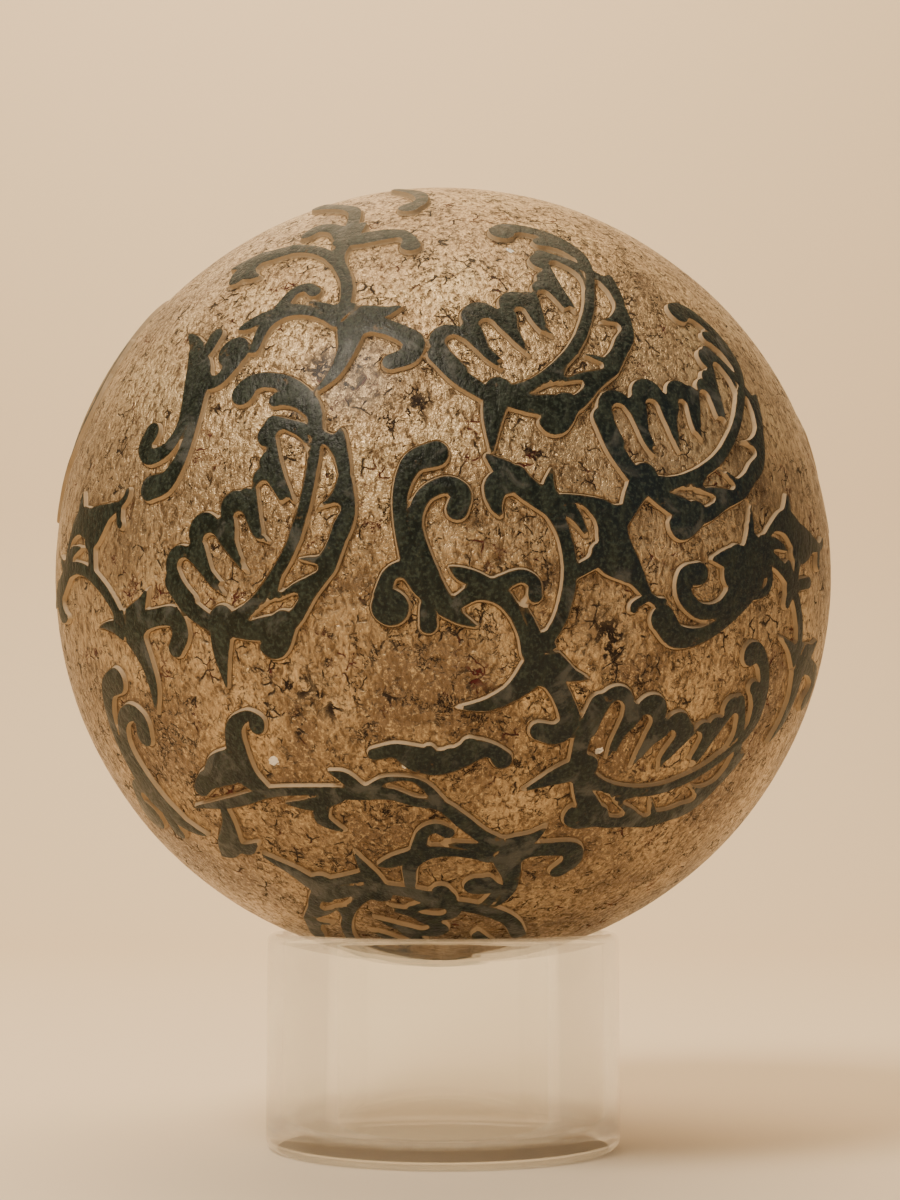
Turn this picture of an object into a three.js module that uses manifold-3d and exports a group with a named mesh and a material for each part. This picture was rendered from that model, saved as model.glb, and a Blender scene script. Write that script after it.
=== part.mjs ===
// Carved ball on a short clear glass cup. Millimetres, +Z up, origin at the middle of the glass underside,
// front towards -Y. Scrolling leaf ornament is raised on the ball by RELIEF.
import * as THREE from "three";
import { mergeVertices } from "three/addons/utils/BufferGeometryUtils.js";
import Module from "manifold-3d";

const wasm = await Module();
wasm.setup();
const { Manifold } = wasm;

// ---- sizes, mm ----
const BALL_R = 62.3; // ground of the ball, between the ornament
const RELIEF = 0.65; // height of the ornament over the ground
const ROOT = 1.3; // depth to which the ornament is rooted in the ball
const BALL_DETAIL = 5; // icosahedron subdivisions of the ground
const GLASS_R = 28; // outside of the glass cup
const GLASS_H = 33.5;
const GLASS_WALL = 2.4;
const GLASS_FLOOR = 2.6;
const FOOT_ROUND = 1.8; // outside corner under the cup
const WELL_ROUND = 3.5; // inside corner above the floor
const GLASS_SIDES = 32;
const SEAT_GAP = 0.25; // between the raised ornament and the rim
const STEPS = 4; // links to each pair of a stroke's knots
const DISC_SIDES = 12;
const LONGEST = 13; // longest edge of the ornament's top, mm, so that it follows the ball
const SPECK = 0.3; // smallest area of an outline, mm2
const SMOOTH = 0.78; // tolerance of the ornament outlines, front
const SMOOTH_FAR = 1.6; // the same on the sides and the back

const RIM_R = GLASS_WALL / 2;
const SEAT = BALL_R + RELIEF + SEAT_GAP + RIM_R;
const BALL_Z = GLASS_H - RIM_R + Math.sqrt(SEAT ** 2 - (GLASS_R - RIM_R) ** 2);

const rad = THREE.MathUtils.degToRad;
const mix = THREE.MathUtils.lerp;
const blend = (a, b, t) => a.map((v, i) => mix(v, b[i], t));

// ---- strokes: knots are [x, y, half width] in a motif's own flat frame ----
const add = (...knots) => ["add", knots];
const cut = (...knots) => ["cut", knots];

// Smooth curve through the knots at t from 0 to 1.
function along(knots, t) {
  const n = knots.length - 1;
  const s = Math.min(t * n, n - 1e-9);
  const i = Math.floor(s);
  const f = s - i;
  return knots[0].map((_, j) => {
    const b = knots[i][j];
    const c = knots[i + 1][j];
    const a = i === 0 ? 2 * b - c : knots[i - 1][j];
    const d = i + 2 > n ? 2 * c - b : knots[i + 2][j];
    return 0.5 * (2 * b + (c - a) * f + (2 * a - 5 * b + 4 * c - d) * f * f
      + (3 * b - a - 3 * c + d) * f ** 3);
  });
}

// Convex outline round two discs [x, y, radius], counter-clockwise.
function link(...discs) {
  const rim = discs.flatMap(([x, y, r]) =>
    Array.from({ length: DISC_SIDES }, (_, k) => {
      const a = (k * 2 * Math.PI) / DISC_SIDES;
      return new THREE.Vector2(x + r * Math.cos(a), y + r * Math.sin(a));
    }));
  rim.sort((p, q) => p.x - q.x || p.y - q.y);
  const half = (points) => {
    const chain = [];
    for (const p of points) {
      while (chain.length > 1 && side(chain.at(-2), chain.at(-1), p) <= 1e-7) chain.pop();
      chain.push(p);
    }
    return chain.slice(0, -1);
  };
  return [...half(rim), ...half(rim.reverse())];
}

// Twice the area of the triangle a, b, p: positive where p is left of the line from a to b.
function side(a, b, p) {
  return (b.x - a.x) * (p.y - a.y) - (b.y - a.y) * (p.x - a.x);
}

// Slab of a flat outline between two heights.
function slab(points, holes, low, high) {
  const shape = new THREE.Shape(points);
  shape.holes = holes.map((hole) => new THREE.Path(hole));
  const settings = { depth: high - low, bevelEnabled: false };
  return new THREE.ExtrudeGeometry(shape, settings).translate(0, 0, low);
}

// One stroke as a chain of links; a cutting stroke reaches past the slab on both sides.
function strokeSolid([kind, knots]) {
  const count = (knots.length - 1) * STEPS;
  const [low, high] = kind === "add" ? [0, 1] : [-1, 2];
  const spine = Array.from({ length: count + 1 }, (_, i) => {
    const [x, y, w] = along(knots, i / count);
    return [x, y, Math.max(w, 0.08)];
  });
  return spine.slice(1)
    .map((disc, i) => toManifold(slab(link(spine[i], disc), [], low, high)))
    .reduce((whole, piece) => whole.add(piece));
}

// Outlines of the top of a slab, outer ones counter-clockwise and holes clockwise.
function loops(solid) {
  const { vertProperties: at, triVerts: tri } = solid.getMesh();
  const edges = new Map();
  for (let i = 0; i < tri.length; i += 3) {
    const corners = [tri[i], tri[i + 1], tri[i + 2]];
    if (corners.some((k) => at[3 * k + 2] < 0.9)) continue;
    corners.forEach((k, j) => edges.set(`${k} ${corners[(j + 1) % 3]}`, [k, corners[(j + 1) % 3]]));
  }
  const next = new Map();
  for (const [a, b] of edges.values()) if (!edges.has(`${b} ${a}`)) next.set(a, b);
  const found = [];
  while (next.size > 0) {
    const loop = [];
    let k = next.keys().next().value;
    while (next.has(k)) {
      loop.push(new THREE.Vector2(at[3 * k], at[3 * k + 1]));
      const after = next.get(k);
      next.delete(k);
      k = after;
    }
    found.push(loop);
  }
  return found;
}

// Drops the flattest points of a loop, as long as no dropped point strays more than the tolerance
// from the new line and no other point is crossed.
function thinned(loop, others, tolerance) {
  const line = new THREE.Line3();
  const foot = new THREE.Vector3();
  const stray = (p, a, b) => {
    line.start.set(a.x, a.y, 0);
    line.end.set(b.x, b.y, 0);
    const q = new THREE.Vector3(p.x, p.y, 0);
    return line.closestPointToPoint(q, true, foot).distanceTo(q);
  };
  const within = (p, a, b, c) => {
    const turns = [side(a, b, p), side(b, c, p), side(c, a, p)];
    return p !== a && p !== b && p !== c
      && (turns.every((t) => t > -1e-6) || turns.every((t) => t < 1e-6));
  };
  const kept = loop.map((p) => ({ p, gone: [] }));
  while (kept.length > 3) {
    let best = -1;
    let least = tolerance;
    kept.forEach(({ p, gone }, i) => {
      const before = kept.at(i - 1);
      const after = kept[(i + 1) % kept.length];
      const worst = Math.max(...[...before.gone, p, ...gone].map((q) => stray(q, before.p, after.p)));
      if (worst >= least) return;
      const near = (q) => within(q, before.p, p, after.p);
      if (others.some(near) || kept.some((item) => near(item.p))) return;
      best = i;
      least = worst;
    });
    if (best < 0) break;
    kept.at(best - 1).gone.push(kept[best].p, ...kept[best].gone);
    kept.splice(best, 1);
  }
  return kept.map(({ p }) => p);
}

// A slab as a mesh with shared corners, its top and underside free of long edges.
function tidied(geometry) {
  const merged = welded(geometry);
  const at = [...merged.getAttribute("position").array];
  const index = [...merged.index.array];
  const corner = (k) => new THREE.Vector3(at[3 * k], at[3 * k + 1], at[3 * k + 2]);
  const size = (a, b) => corner(a).distanceTo(corner(b));
  const third = (t, a, b) => index.slice(3 * t, 3 * t + 3).find((k) => k !== a && k !== b);
  // Swaps the edge between two triangles of one flat side where the other diagonal is shorter.
  const swapEdges = () => {
    const owner = new Map();
    for (let i = 0; i < index.length; i++) {
      owner.set(`${index[i]} ${index[i % 3 === 2 ? i - 2 : i + 1]}`, Math.floor(i / 3));
    }
    const done = new Set();
    for (const [edge, t] of owner) {
      const [a, b] = edge.split(" ").map(Number);
      const u = owner.get(`${b} ${a}`);
      const [c, d] = [third(t, a, b), third(u, a, b)];
      const [pa, pb, pc, pd] = [a, b, c, d].map(corner);
      const level = [pb, pc, pd].every((p) => Math.abs(p.z - pa.z) < 1e-6);
      if (!level || done.has(t) || done.has(u) || size(c, d) > 0.99 * size(a, b)) continue;
      if (side(pc, pd, pa) * side(pc, pd, pb) > -1e-4) continue;
      index.splice(3 * t, 3, a, d, c);
      index.splice(3 * u, 3, d, b, c);
      done.add(t).add(u);
    }
    return done.size > 0;
  };
  // Halves the longest top edges, in both triangles beside each.
  const halveEdges = () => {
    let worst = LONGEST;
    let pick = null;
    for (let i = 0; i < index.length; i++) {
      const [a, b] = [index[i], index[i % 3 === 2 ? i - 2 : i + 1]];
      if (at[3 * a + 2] < 0.9 || at[3 * b + 2] < 0.9 || size(a, b) <= worst) continue;
      worst = size(a, b);
      pick = [a, b];
    }
    if (pick === null) return false;
    const [a, b] = pick;
    const middle = at.length / 3;
    at.push(...corner(a).lerp(corner(b), 0.5).toArray());
    for (let i = 0; i < index.length; i += 3) {
      const tri = index.slice(i, i + 3);
      if (!tri.includes(a) || !tri.includes(b)) continue;
      index.splice(i, 3, ...tri.map((k) => (k === b ? middle : k)));
      index.push(...tri.map((k) => (k === a ? middle : k)));
    }
    return true;
  };
  while (swapEdges());
  while (halveEdges()) while (swapEdges());
  const made = new THREE.BufferGeometry();
  made.setAttribute("position", new THREE.BufferAttribute(new Float32Array(at), 3));
  made.setIndex(index);
  return made;
}

// A motif's flat slab from 0 to 1, its strokes joined and cut in order.
function flat(strokes, tolerance) {
  const solid = strokes.reduce((whole, stroke) => {
    const piece = strokeSolid(stroke);
    if (whole === null) return piece;
    return stroke[0] === "add" ? whole.add(piece) : whole.subtract(piece);
  }, null);
  const rough = loops(solid);
  const fine = [];
  rough.forEach((loop, i) => {
    const others = [...fine, ...rough.slice(i + 1)].flat();
    fine.push(thinned(loop, others, tolerance));
  });
  const area = (loop) => THREE.ShapeUtils.area(loop);
  const holes = fine.filter((loop) => area(loop) < -SPECK);
  return fine.filter((loop) => area(loop) > SPECK).map((outer) =>
    tidied(slab(outer, holes.filter((hole) => contains(outer, hole[0])), 0, 1)));
}

// Whether a point is inside a loop.
function contains(loop, p) {
  let odd = false;
  loop.forEach((a, i) => {
    const b = loop.at(i - 1);
    if (a.y > p.y !== b.y > p.y && p.x < ((b.x - a.x) * (p.y - a.y)) / (b.y - a.y) + a.x) odd = !odd;
  });
  return odd;
}

const turned = (strokes, deg, dx, dy) => {
  const c = Math.cos(rad(deg));
  const s = Math.sin(rad(deg));
  const move = ([x, y, w]) => [x * c - y * s + dx, x * s + y * c + dy, w];
  return strokes.map(([kind, knots]) => [kind, knots.map(move)]);
};

// ---- motifs ----
// A paisley leaf: scalloped band and fingers left of the rib, barbed band right of it, a fork
// below and a curl above. A plain one has neither barbs nor drops.
function leaf(carved = true) {
  const lobes = [[-4.6, 11.9, 1.8], [-1.9, 6.2, 1.8], [-4.1, 0.9, 2.4], [-7.3, -4.0, 2.7], [-9.2, -9.8, 2.8]];
  const outer = [
    add([-1.0, 11.6, 3.0], [1.0, 5.0, 3.8], [-0.6, -3.0, 4.6], [-3.0, -8.8, 5.2], [-2.0, -12.6, 3.0]),
    add([-9.4, -12.4, 1.7], [-5.0, -14.3, 1.6], [0.2, -14.8, 1.6]),
    ...lobes.map(([x, y, w]) => add([x, y, w], [x + 1.5, y, w - 0.3])),
    add([-5.0, 13.4, 1.3], [-1.0, 14.7, 0.7], [4.0, 14.9, 0.8]),
    add([4.0, 14.4, 1.0], [7.6, 10.8, 1.9], [10.0, 5.0, 2.7], [10.1, -0.5, 3.0], [8.4, -9.6, 2.8],
      [5.4, -12.6, 1.9], [1.4, -14.2, 1.5]),
  ];
  const fingers = [
    [[-2.6, 12.5, 1.0], [0.0, 11.2, 2.0], [1.7, 9.0, 1.6], [3.6, 6.2, 0.8]],
    [[-1.4, 5.0, 1.05], [0.5, 3.4, 1.6], [2.2, 1.8, 2.0]],
    [[-2.9, -0.1, 0.9], [-0.9, -2.2, 1.4], [1.6, -3.8, 1.9]],
    [[-5.8, -4.9, 1.25], [-4.0, -6.3, 1.7], [0.5, -8.0, 1.9]],
    [[-8.6, -9.7, 1.2], [-6.5, -10.5, 1.6], [-1.5, -12.3, 1.6]],
  ];
  const barbs = [
    [[3.9, 13.2, 0.8], [6.0, 10.9, 1.6], [6.9, 8.4, 1.2], [7.0, 5.6, 0.4]],
    [[9.5, 6.7, 0.9], [8.6, 4.6, 1.7], [8.6, 1.0, 1.8], [7.7, -1.4, 0.9]],
    [[10.3, -1.6, 0.7], [8.8, -2.2, 1.5], [7.8, -3.8, 1.2], [7.2, -6.2, 0.4]],
    [[9.3, -6.4, 0.75], [8.2, -8.0, 1.3], [6.2, -9.8, 0.8], [4.3, -12.0, 0.15]],
  ];
  const drops = [
    [[-2.5, 8.6, 1.5], [-0.2, 7.5, 0.8], [3.7, 5.2, 0.1]],
    [[-3.2, 3.0, 1.2], [-0.6, 0.4, 0.8], [2.8, -1.2, 0.1]],
    [[-4.3, -2.0, 1.6], [-2.2, -4.2, 0.75], [1.5, -6.3, 0.1]],
    [[-7.4, -6.9, 1.6], [-4.2, -9.1, 0.8], [-0.7, -10.5, 0.1]],
    [[10.9, -3.9, 0.9], [8.9, -5.3, 0.55], [7.0, -7.8, 0.1]],
  ];
  const inner = cut([3.6, 6.0, 0.8], [3.2, 0.0, 2.0], [2.3, -6.0, 2.3], [0.6, -9.8, 2.2], [-1.2, -12.2, 1.9]);
  const rib = add([1.4, -14.0, 1.2], [5.0, -7.4, 0.85], [6.1, 0.0, 0.85], [4.6, 8.0, 0.8], [2.0, 15.0, 0.75]);
  return [
    ...outer,
    ...[...fingers, ...(carved ? barbs : [])].map((knots) => cut(...knots)),
    inner,
    ...(carved ? drops : []).map((knots) => add(...knots)),
    rib,
    add([4.7, 16.9, 0.2], [5.4, 15.2, 1.0], [8.0, 12.2, 0.9]),
    add([9.3, -10.4, 1.9], [9.2, -13.6, 1.9], [7.9, -14.6, 0.8]),
    add([0.3, -13.8, 2.0], [1.5, -17.8, 1.4], [3.9, -22.6, 0.15]),
    add([1.8, 15.0, 0.9], [-1.0, 18.0, 1.2], [-5.5, 19.4, 1.2], [-10.6, 18.4, 1.3], [-12.3, 15.6, 1.9]),
    add([-0.4, 17.0, 0.7], [-3.4, 18.0, 1.2], [-6.7, 16.6, 1.0]),
  ];
}

// A knot where stems meet: two spikes, a hook and a pointed tail.
const star = () => turned([
  add([-3.2, 1.7, 1.3], [0.0, 0.6, 2.4], [2.6, 1.0, 1.2]),
  add([0.2, 1.6, 1.9], [2.6, 3.4, 1.0], [4.3, 5.7, 0.1]),
  add([-1.2, -0.2, 1.8], [-5.5, 0.9, 0.8], [-9.4, 1.1, 0.1]),
  add([1.5, 0.8, 1.5], [5.4, 1.3, 1.3], [9.0, 1.0, 1.5], [9.8, -1.4, 1.5], [8.3, -3.5, 1.3]),
  add([-0.2, -0.4, 2.2], [1.5, -4.6, 1.3], [1.8, -8.6, 0.9], [0.6, -12.6, 0.1]),
], -66, 8.2, -12.2);

// Two crescents, one inside the other, each ending in a bulb.
const crescents = () => [
  add([-3.5, 9.0, 1.5], [-3.0, 11.2, 1.35], [-5.1, 12.3, 1.2], [-8.1, 10.6, 1.05], [-9.1, 6.4, 1.0],
    [-6.8, -0.6, 1.3], [-4.6, -3.8, 1.0]),
  add([-6.4, 16.6, 1.8], [-9.6, 15.2, 1.5], [-11.2, 10.5, 1.0], [-10.4, 4.0, 1.05], [-8.4, -0.8, 1.5],
    [-5.2, -4.0, 0.8]),
];

const buds = () => [
  add([-12.5, -4.1, 2.4], [-12.2, -4.3, 2.4]),
  add([-13.4, -2.6, 1.2], [-12.4, 0.2, 1.0], [-10.2, 0.8, 1.2], [-8.0, -1.0, 1.5]),
  add([-7.2, -6.5, 1.2], [-7.3, -3.8, 1.0], [-6.0, -2.0, 1.2]),
  add([-5.0, -4.2, 1.2], [-2.9, -5.6, 0.8], [-0.6, -6.7, 0.1]),
];

// A long stem with a lobed head.
const stem = () => [
  add([7.4, -10.6, 0.8], [10.6, -5.6, 0.9], [11.9, 0.5, 0.95], [11.0, 6.0, 0.95], [8.6, 10.4, 1.2]),
  add([0.5, 16.4, 0.3], [3.2, 14.2, 1.5], [6.2, 11.8, 1.6], [9.2, 9.4, 1.2]),
  add([4.4, 13.4, 1.8], [1.8, 12.3, 1.7], [1.6, 9.8, 0.9], [2.3, 8.3, 0.3]),
];

// A side shoot with a hooked bud.
const sprig = () => [
  add([6.2, -10.2, 0.8], [5.6, -7.6, 0.75], [4.4, -4.9, 0.9], [2.8, -2.8, 1.2], [0.9, -1.7, 1.5],
    [-1.5, -2.2, 1.1], [-4.7, -4.5, 0.8]),
  add([0.4, -1.2, 1.2], [-1.2, -0.3, 1.1], [-3.0, 0.4, 0.9], [-4.4, 1.2, 0.2]),
  add([2.3, -0.9, 1.1], [5.0, 0.2, 0.9], [6.8, -0.6, 0.9], [7.1, -2.4, 1.0]),
];

// The stem's fork and its broad head.
const crown = () => [
  add([9.5, 14.8, 0.2], [9.0, 12.0, 0.9], [10.2, 9.0, 1.3]),
  add([9.6, 10.2, 1.1], [12.4, 8.8, 0.9], [14.3, 5.8, 0.2]),
  add([12.2, 0.6, 0.9], [14.6, 1.8, 0.9], [16.6, 3.2, 1.2]),
  add([10.6, 10.8, 0.6], [13.8, 10.6, 0.7], [16.6, 9.2, 1.6], [18.4, 4.8, 2.3], [20.2, 2.2, 1.9],
    [23.6, -2.4, 0.7]),
  add([17.4, 8.6, 1.4], [19.2, 9.2, 1.0], [21.2, 10.4, 0.3]),
  add([16.2, 3.6, 1.3], [17.2, 1.6, 1.0], [20.6, 0.4, 1.1]),
  add([23.4, -2.4, 0.6], [21.6, -3.6, 0.6]),
  add([23.4, -2.2, 0.6], [26.2, -3.2, 0.5]),
];

// The head of the upper stem: a hook, a shoot upwards and a bulb.
const finial = () => [
  add([-1.6, -12.0, 0.9], [-3.6, -5.6, 1.0], [-3.4, -3.0, 1.3]),
  add([-4.0, -2.6, 1.4], [-0.6, -2.4, 1.7], [4.8, -1.6, 1.1], [6.2, -3.0, 1.0], [6.7, -4.7, 1.5]),
  add([-3.8, -1.8, 1.4], [-6.0, 1.8, 1.2], [-8.8, 3.2, 1.3], [-10.4, 1.8, 1.1]),
  add([-3.6, -1.0, 1.2], [-3.6, 3.6, 1.0], [-4.6, 8.2, 1.0], [-12.2, 15.4, 1.3]),
  add([-3.0, -9.0, 0.9], [-6.6, -4.9, 0.8], [-12.0, -2.0, 0.9], [-18.2, -1.9, 1.2], [-20.4, -5.6, 1.4]),
  add([3.9, 7.8, 1.6], [5.2, 11.0, 1.0], [3.6, 15.4, 1.1], [-1.0, 20.0, 0.6]),
];

// The worn, lobed head over the lower stem.
const wornHead = () => [
  add([-8.4, 6.6, 0.9], [-5.5, 7.3, 1.1], [-2.6, 6.2, 1.9], [0.2, 5.6, 1.9], [5.2, 7.4, 1.6],
    [7.6, 7.2, 1.0], [9.0, 5.7, 1.4]),
  add([-14.8, 3.1, 0.2], [-12.7, 2.5, 0.9], [-10.8, 0.8, 1.1]),
  add([-13.2, -0.4, 0.8], [-10.0, 0.3, 1.2], [-3.0, -0.6, 0.8], [0.6, -1.3, 0.9], [8.4, -8.8, 1.3]),
  add([-8.6, 1.2, 0.9], [-6.9, 2.7, 0.5], [-3.6, 3.0, 0.35], [-1.6, 2.0, 0.6], [0.4, -0.6, 0.8]),
];

// The spiral just over the rim of the cup.
const lowCurl = () => [
  add([1.0, -0.8, 0.8], [8.0, -0.9, 1.2], [12.2, -4.0, 1.3], [14.5, -8.0, 1.2], [15.0, -13.0, 1.2]),
  add([10.8, 3.6, 1.9], [11.6, 3.4, 1.9]),
  add([12.4, 4.6, 0.8], [13.4, 1.8, 0.7], [11.4, -1.4, 0.8]),
  add([5.6, 3.4, 1.3], [6.6, 1.2, 1.0], [5.0, -0.2, 0.8]),
];

// The right crescent's pointed end and the buds beyond it.
const sideShoots = () => [
  add([4.6, -4.0, 1.2], [7.4, -0.6, 1.3], [9.3, 4.0, 1.1], [10.3, 11.8, 0.1]),
  add([8.5, -0.8, 0.8], [11.5, -1.4, 0.7], [14.3, -0.4, 0.7], [14.8, 1.6, 0.8], [13.6, 2.6, 1.2]),
  add([9.6, 3.2, 0.8], [11.8, 4.8, 0.9], [13.2, 6.8, 0.7]),
];

// The lobed palm with a hooked top.
const palm = () => [
  add([-3.0, 9.2, 1.2], [-4.4, 10.8, 0.8], [-6.8, 9.0, 1.3], [-7.3, 5.6, 1.7], [-7.0, 1.6, 1.9],
    [-4.6, -0.6, 0.8]),
  add([-8.0, 4.6, 1.3], [-11.4, 3.0, 1.6], [-13.2, 0.6, 1.5]),
  add([-9.6, 2.0, 2.0], [-14.0, 0.2, 1.6], [-16.2, -1.8, 1.2]),
];

// A thin stem with small side leaves.
const trail = () => [
  add([-19.0, -5.4, 0.2], [-11.0, -3.4, 0.9], [-4.0, -1.3, 0.8], [3.0, -1.0, 0.7], [11.0, -2.4, 0.8]),
  add([-1.8, -3.0, 0.2], [2.6, -3.2, 1.1], [6.6, -2.2, 0.9]),
  add([4.0, -3.4, 0.9], [3.0, -5.8, 1.1], [5.6, -8.2, 0.2]),
  add([-13.0, -4.6, 0.6], [-13.4, -8.0, 1.2], [-15.4, -12.4, 2.0], [-18.2, -15.2, 0.2]),
  add([-14.6, -12.0, 1.2], [-12.0, -12.4, 1.1], [-9.4, -10.8, 0.2]),
  add([-9.6, -13.2, 0.3], [-5.6, -16.2, 1.1], [-2.6, -19.4, 1.6], [5.4, -17.2, 1.0]),
];

const plain = () => leaf(false);
const fork = () => [...star(), ...sprig()];
const bough = () => [...star(), ...stem(), ...crown()];
const branch = () => [...stem(), ...turned(fork(), 0, -0.8, -1.3)];
const scroll = () => [...crescents(), ...buds()];
const spray = () => [...bough(), ...sprig(), ...scroll()];
const flourish = () => [...bough(), ...scroll()];
const frond = () => [...palm(), ...trail()];

const MOTIFS = {
  leaf, plain, crescents, fork, bough, branch, scroll, spray, flourish, frond, finial, wornHead, lowCurl,
  sideShoots,
};

// ---- layout: motif, azimuth from the front, elevation, roll (degrees), scale ----
const FRONT = [
  ["leaf", -23.9, -0.4, -27, 1], ["leaf", 14.1, 27.6, -32, 1], ["leaf", 36.1, 14.6, -50, 1],
  ["leaf", 35.6, -29.4, -77, 0.96], ["spray", 5.1, -7.4, 0, 1],
  ["branch", -27.9, 31.6, 46, 1], ["finial", -13.9, 46.6, 0, 1],
  ["fork", -7.1, -45.6, 48.2, 1], ["wornHead", -0.9, -36.4, 0, 1], ["lowCurl", -8.9, -56.4, 0, 1],
  ["bough", -59.6, -14.1, 62.9, 1], ["scroll", -44.7, 22.9, 169.5, 1.05],
  ["crescents", 41.2, 1.6, 118.2, 1.08], ["sideShoots", 35.1, -6.4, 0, 1],
  ["scroll", -46.6, -35.7, -2.1, 1.1], ["frond", -23.9, -34.4, 0, 1],
];
const FAR = [
  ["plain", -18.9, -65.4, 165, 0.95], ["bough", 48.1, -14.3, 48, 1], ["plain", -82.9, 24.0, -35, 1],
  ["plain", 99.1, 22.1, -50, 1], ["flourish", -158.9, -19.6, 0, 1], ["plain", 156.1, 6.4, -30, 1],
  ["plain", -110.9, -17.8, -60, 1], ["plain", -158.9, 50.4, -20, 1],
];

// Wraps flat slabs round the ball: x and y become arc lengths from the motif's own middle.
function wrap(slabs, az, el, roll, scale) {
  const a = rad(az);
  const e = rad(el);
  const out = new THREE.Vector3(Math.cos(e) * Math.sin(a), -Math.cos(e) * Math.cos(a), Math.sin(e));
  const east = new THREE.Vector3(Math.cos(a), Math.sin(a), 0);
  const u = east.applyAxisAngle(out, rad(roll));
  const v = new THREE.Vector3().crossVectors(out, u);
  const point = new THREE.Vector3();
  return slabs.map((slabGeometry) => {
    const bent = slabGeometry.clone();
    const position = bent.getAttribute("position");
    for (let i = 0; i < position.count; i++) {
      const [x, y, z] = [position.getX(i), position.getY(i), position.getZ(i)];
      const reach = Math.hypot(x, y) + 1e-9;
      const arc = (reach * scale) / BALL_R;
      point.copy(out).multiplyScalar(Math.cos(arc));
      point.addScaledVector(u, (Math.sin(arc) * x) / reach);
      point.addScaledVector(v, (Math.sin(arc) * y) / reach);
      point.multiplyScalar(mix(BALL_R - ROOT, BALL_R + RELIEF, z));
      position.setXYZ(i, point.x, point.y, point.z);
    }
    return toManifold(bent);
  });
}

// The same triangles with shared corners and nothing but positions.
function welded(geometry) {
  const plain = new THREE.BufferGeometry();
  plain.setAttribute("position", geometry.getAttribute("position"));
  if (geometry.index) plain.setIndex(geometry.index);
  return mergeVertices(plain, 1e-4);
}

function toManifold(geometry) {
  const merged = welded(geometry);
  return new Manifold(new wasm.Mesh({
    numProp: 3,
    vertProperties: new Float32Array(merged.attributes.position.array),
    triVerts: new Uint32Array(merged.index.array),
  }));
}

function toGeometry(solid) {
  const mesh = solid.getMesh();
  const geometry = new THREE.BufferGeometry();
  geometry.setAttribute("position", new THREE.BufferAttribute(new Float32Array(mesh.vertProperties), 3));
  geometry.setIndex(new THREE.BufferAttribute(new Uint32Array(mesh.triVerts), 1));
  geometry.computeVertexNormals();
  return geometry;
}

function ballGeometry() {
  const ground = toManifold(new THREE.IcosahedronGeometry(BALL_R, BALL_DETAIL));
  const raised = [[FRONT, SMOOTH], [FAR, SMOOTH_FAR]].flatMap(([rows, tolerance]) => {
    const shapes = new Map();
    return rows.flatMap(([name, ...place]) => {
      if (!shapes.has(name)) shapes.set(name, flat(MOTIFS[name](), tolerance));
      return wrap(shapes.get(name), ...place);
    });
  });
  return toGeometry(raised.reduce((whole, piece) => whole.add(piece), ground));
}

// Round-bottomed section of the cup, turned about Z.
function glassGeometry() {
  const arc = (x, y, r, from, to, n) =>
    Array.from({ length: n + 1 }, (_, i) => {
      const a = rad(mix(from, to, i / n));
      return new THREE.Vector2(x + r * Math.cos(a), y + r * Math.sin(a));
    });
  const bore = GLASS_R - GLASS_WALL;
  const profile = [
    new THREE.Vector2(0, 0),
    ...arc(GLASS_R - FOOT_ROUND, FOOT_ROUND, FOOT_ROUND, -90, 0, 2),
    ...arc(GLASS_R - RIM_R, GLASS_H - RIM_R, RIM_R, 0, 180, 4),
    ...arc(bore - WELL_ROUND, GLASS_FLOOR + WELL_ROUND, WELL_ROUND, 0, -90, 3),
    new THREE.Vector2(0, GLASS_FLOOR),
  ];
  return new THREE.LatheGeometry(profile, GLASS_SIDES).rotateX(Math.PI / 2);
}

const part = new THREE.Group();

const ball = new THREE.Mesh(
  ballGeometry(),
  new THREE.MeshStandardMaterial({ color: 0x8a6b45, roughness: 0.42, metalness: 0.25 }),
);
ball.name = "carved_ball";
ball.position.z = BALL_Z;
part.add(ball);

const glass = new THREE.Mesh(
  glassGeometry(),
  new THREE.MeshStandardMaterial({ color: 0xe8efec, roughness: 0.03, metalness: 0 }),
);
glass.name = "glass_cup";
part.add(glass);

export default part;
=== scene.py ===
"""Looks of the carved decorative ball on its clear glass cup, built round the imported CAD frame."""

import logging
import math
from collections.abc import Callable, Sequence
from dataclasses import dataclass
from enum import Enum
from functools import partial

import bpy
import numpy as np
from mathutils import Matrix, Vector


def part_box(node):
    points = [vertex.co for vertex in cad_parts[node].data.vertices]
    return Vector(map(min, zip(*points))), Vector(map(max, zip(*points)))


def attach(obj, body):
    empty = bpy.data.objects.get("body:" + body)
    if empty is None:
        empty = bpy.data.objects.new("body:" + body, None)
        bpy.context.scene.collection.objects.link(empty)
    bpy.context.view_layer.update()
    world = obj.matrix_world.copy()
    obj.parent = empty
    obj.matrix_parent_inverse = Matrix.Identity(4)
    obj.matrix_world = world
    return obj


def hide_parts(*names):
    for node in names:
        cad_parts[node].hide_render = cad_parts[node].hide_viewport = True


log = logging.getLogger("carved_ball")
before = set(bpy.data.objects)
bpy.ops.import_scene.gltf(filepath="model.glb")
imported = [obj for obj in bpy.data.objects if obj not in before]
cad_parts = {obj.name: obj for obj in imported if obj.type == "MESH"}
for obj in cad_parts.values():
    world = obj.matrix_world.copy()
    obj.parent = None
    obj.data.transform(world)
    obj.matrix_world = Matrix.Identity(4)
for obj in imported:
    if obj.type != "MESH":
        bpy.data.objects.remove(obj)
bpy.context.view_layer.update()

MM = 0.001
Tree = bpy.types.NodeTree
Socket = bpy.types.NodeSocket
Triple = tuple[float, float, float]
Knot = Triple
Value = Socket | float | str | tuple[float, ...] | Vector
Inputs = dict[str | int, Value]
EASED = {"interpolation_type": "SMOOTHSTEP"}
# A colour mix's own sockets: its factor, its two colours and its result
FACTOR, BELOW, ABOVE, MIXED = 0, 6, 7, 2


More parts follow.
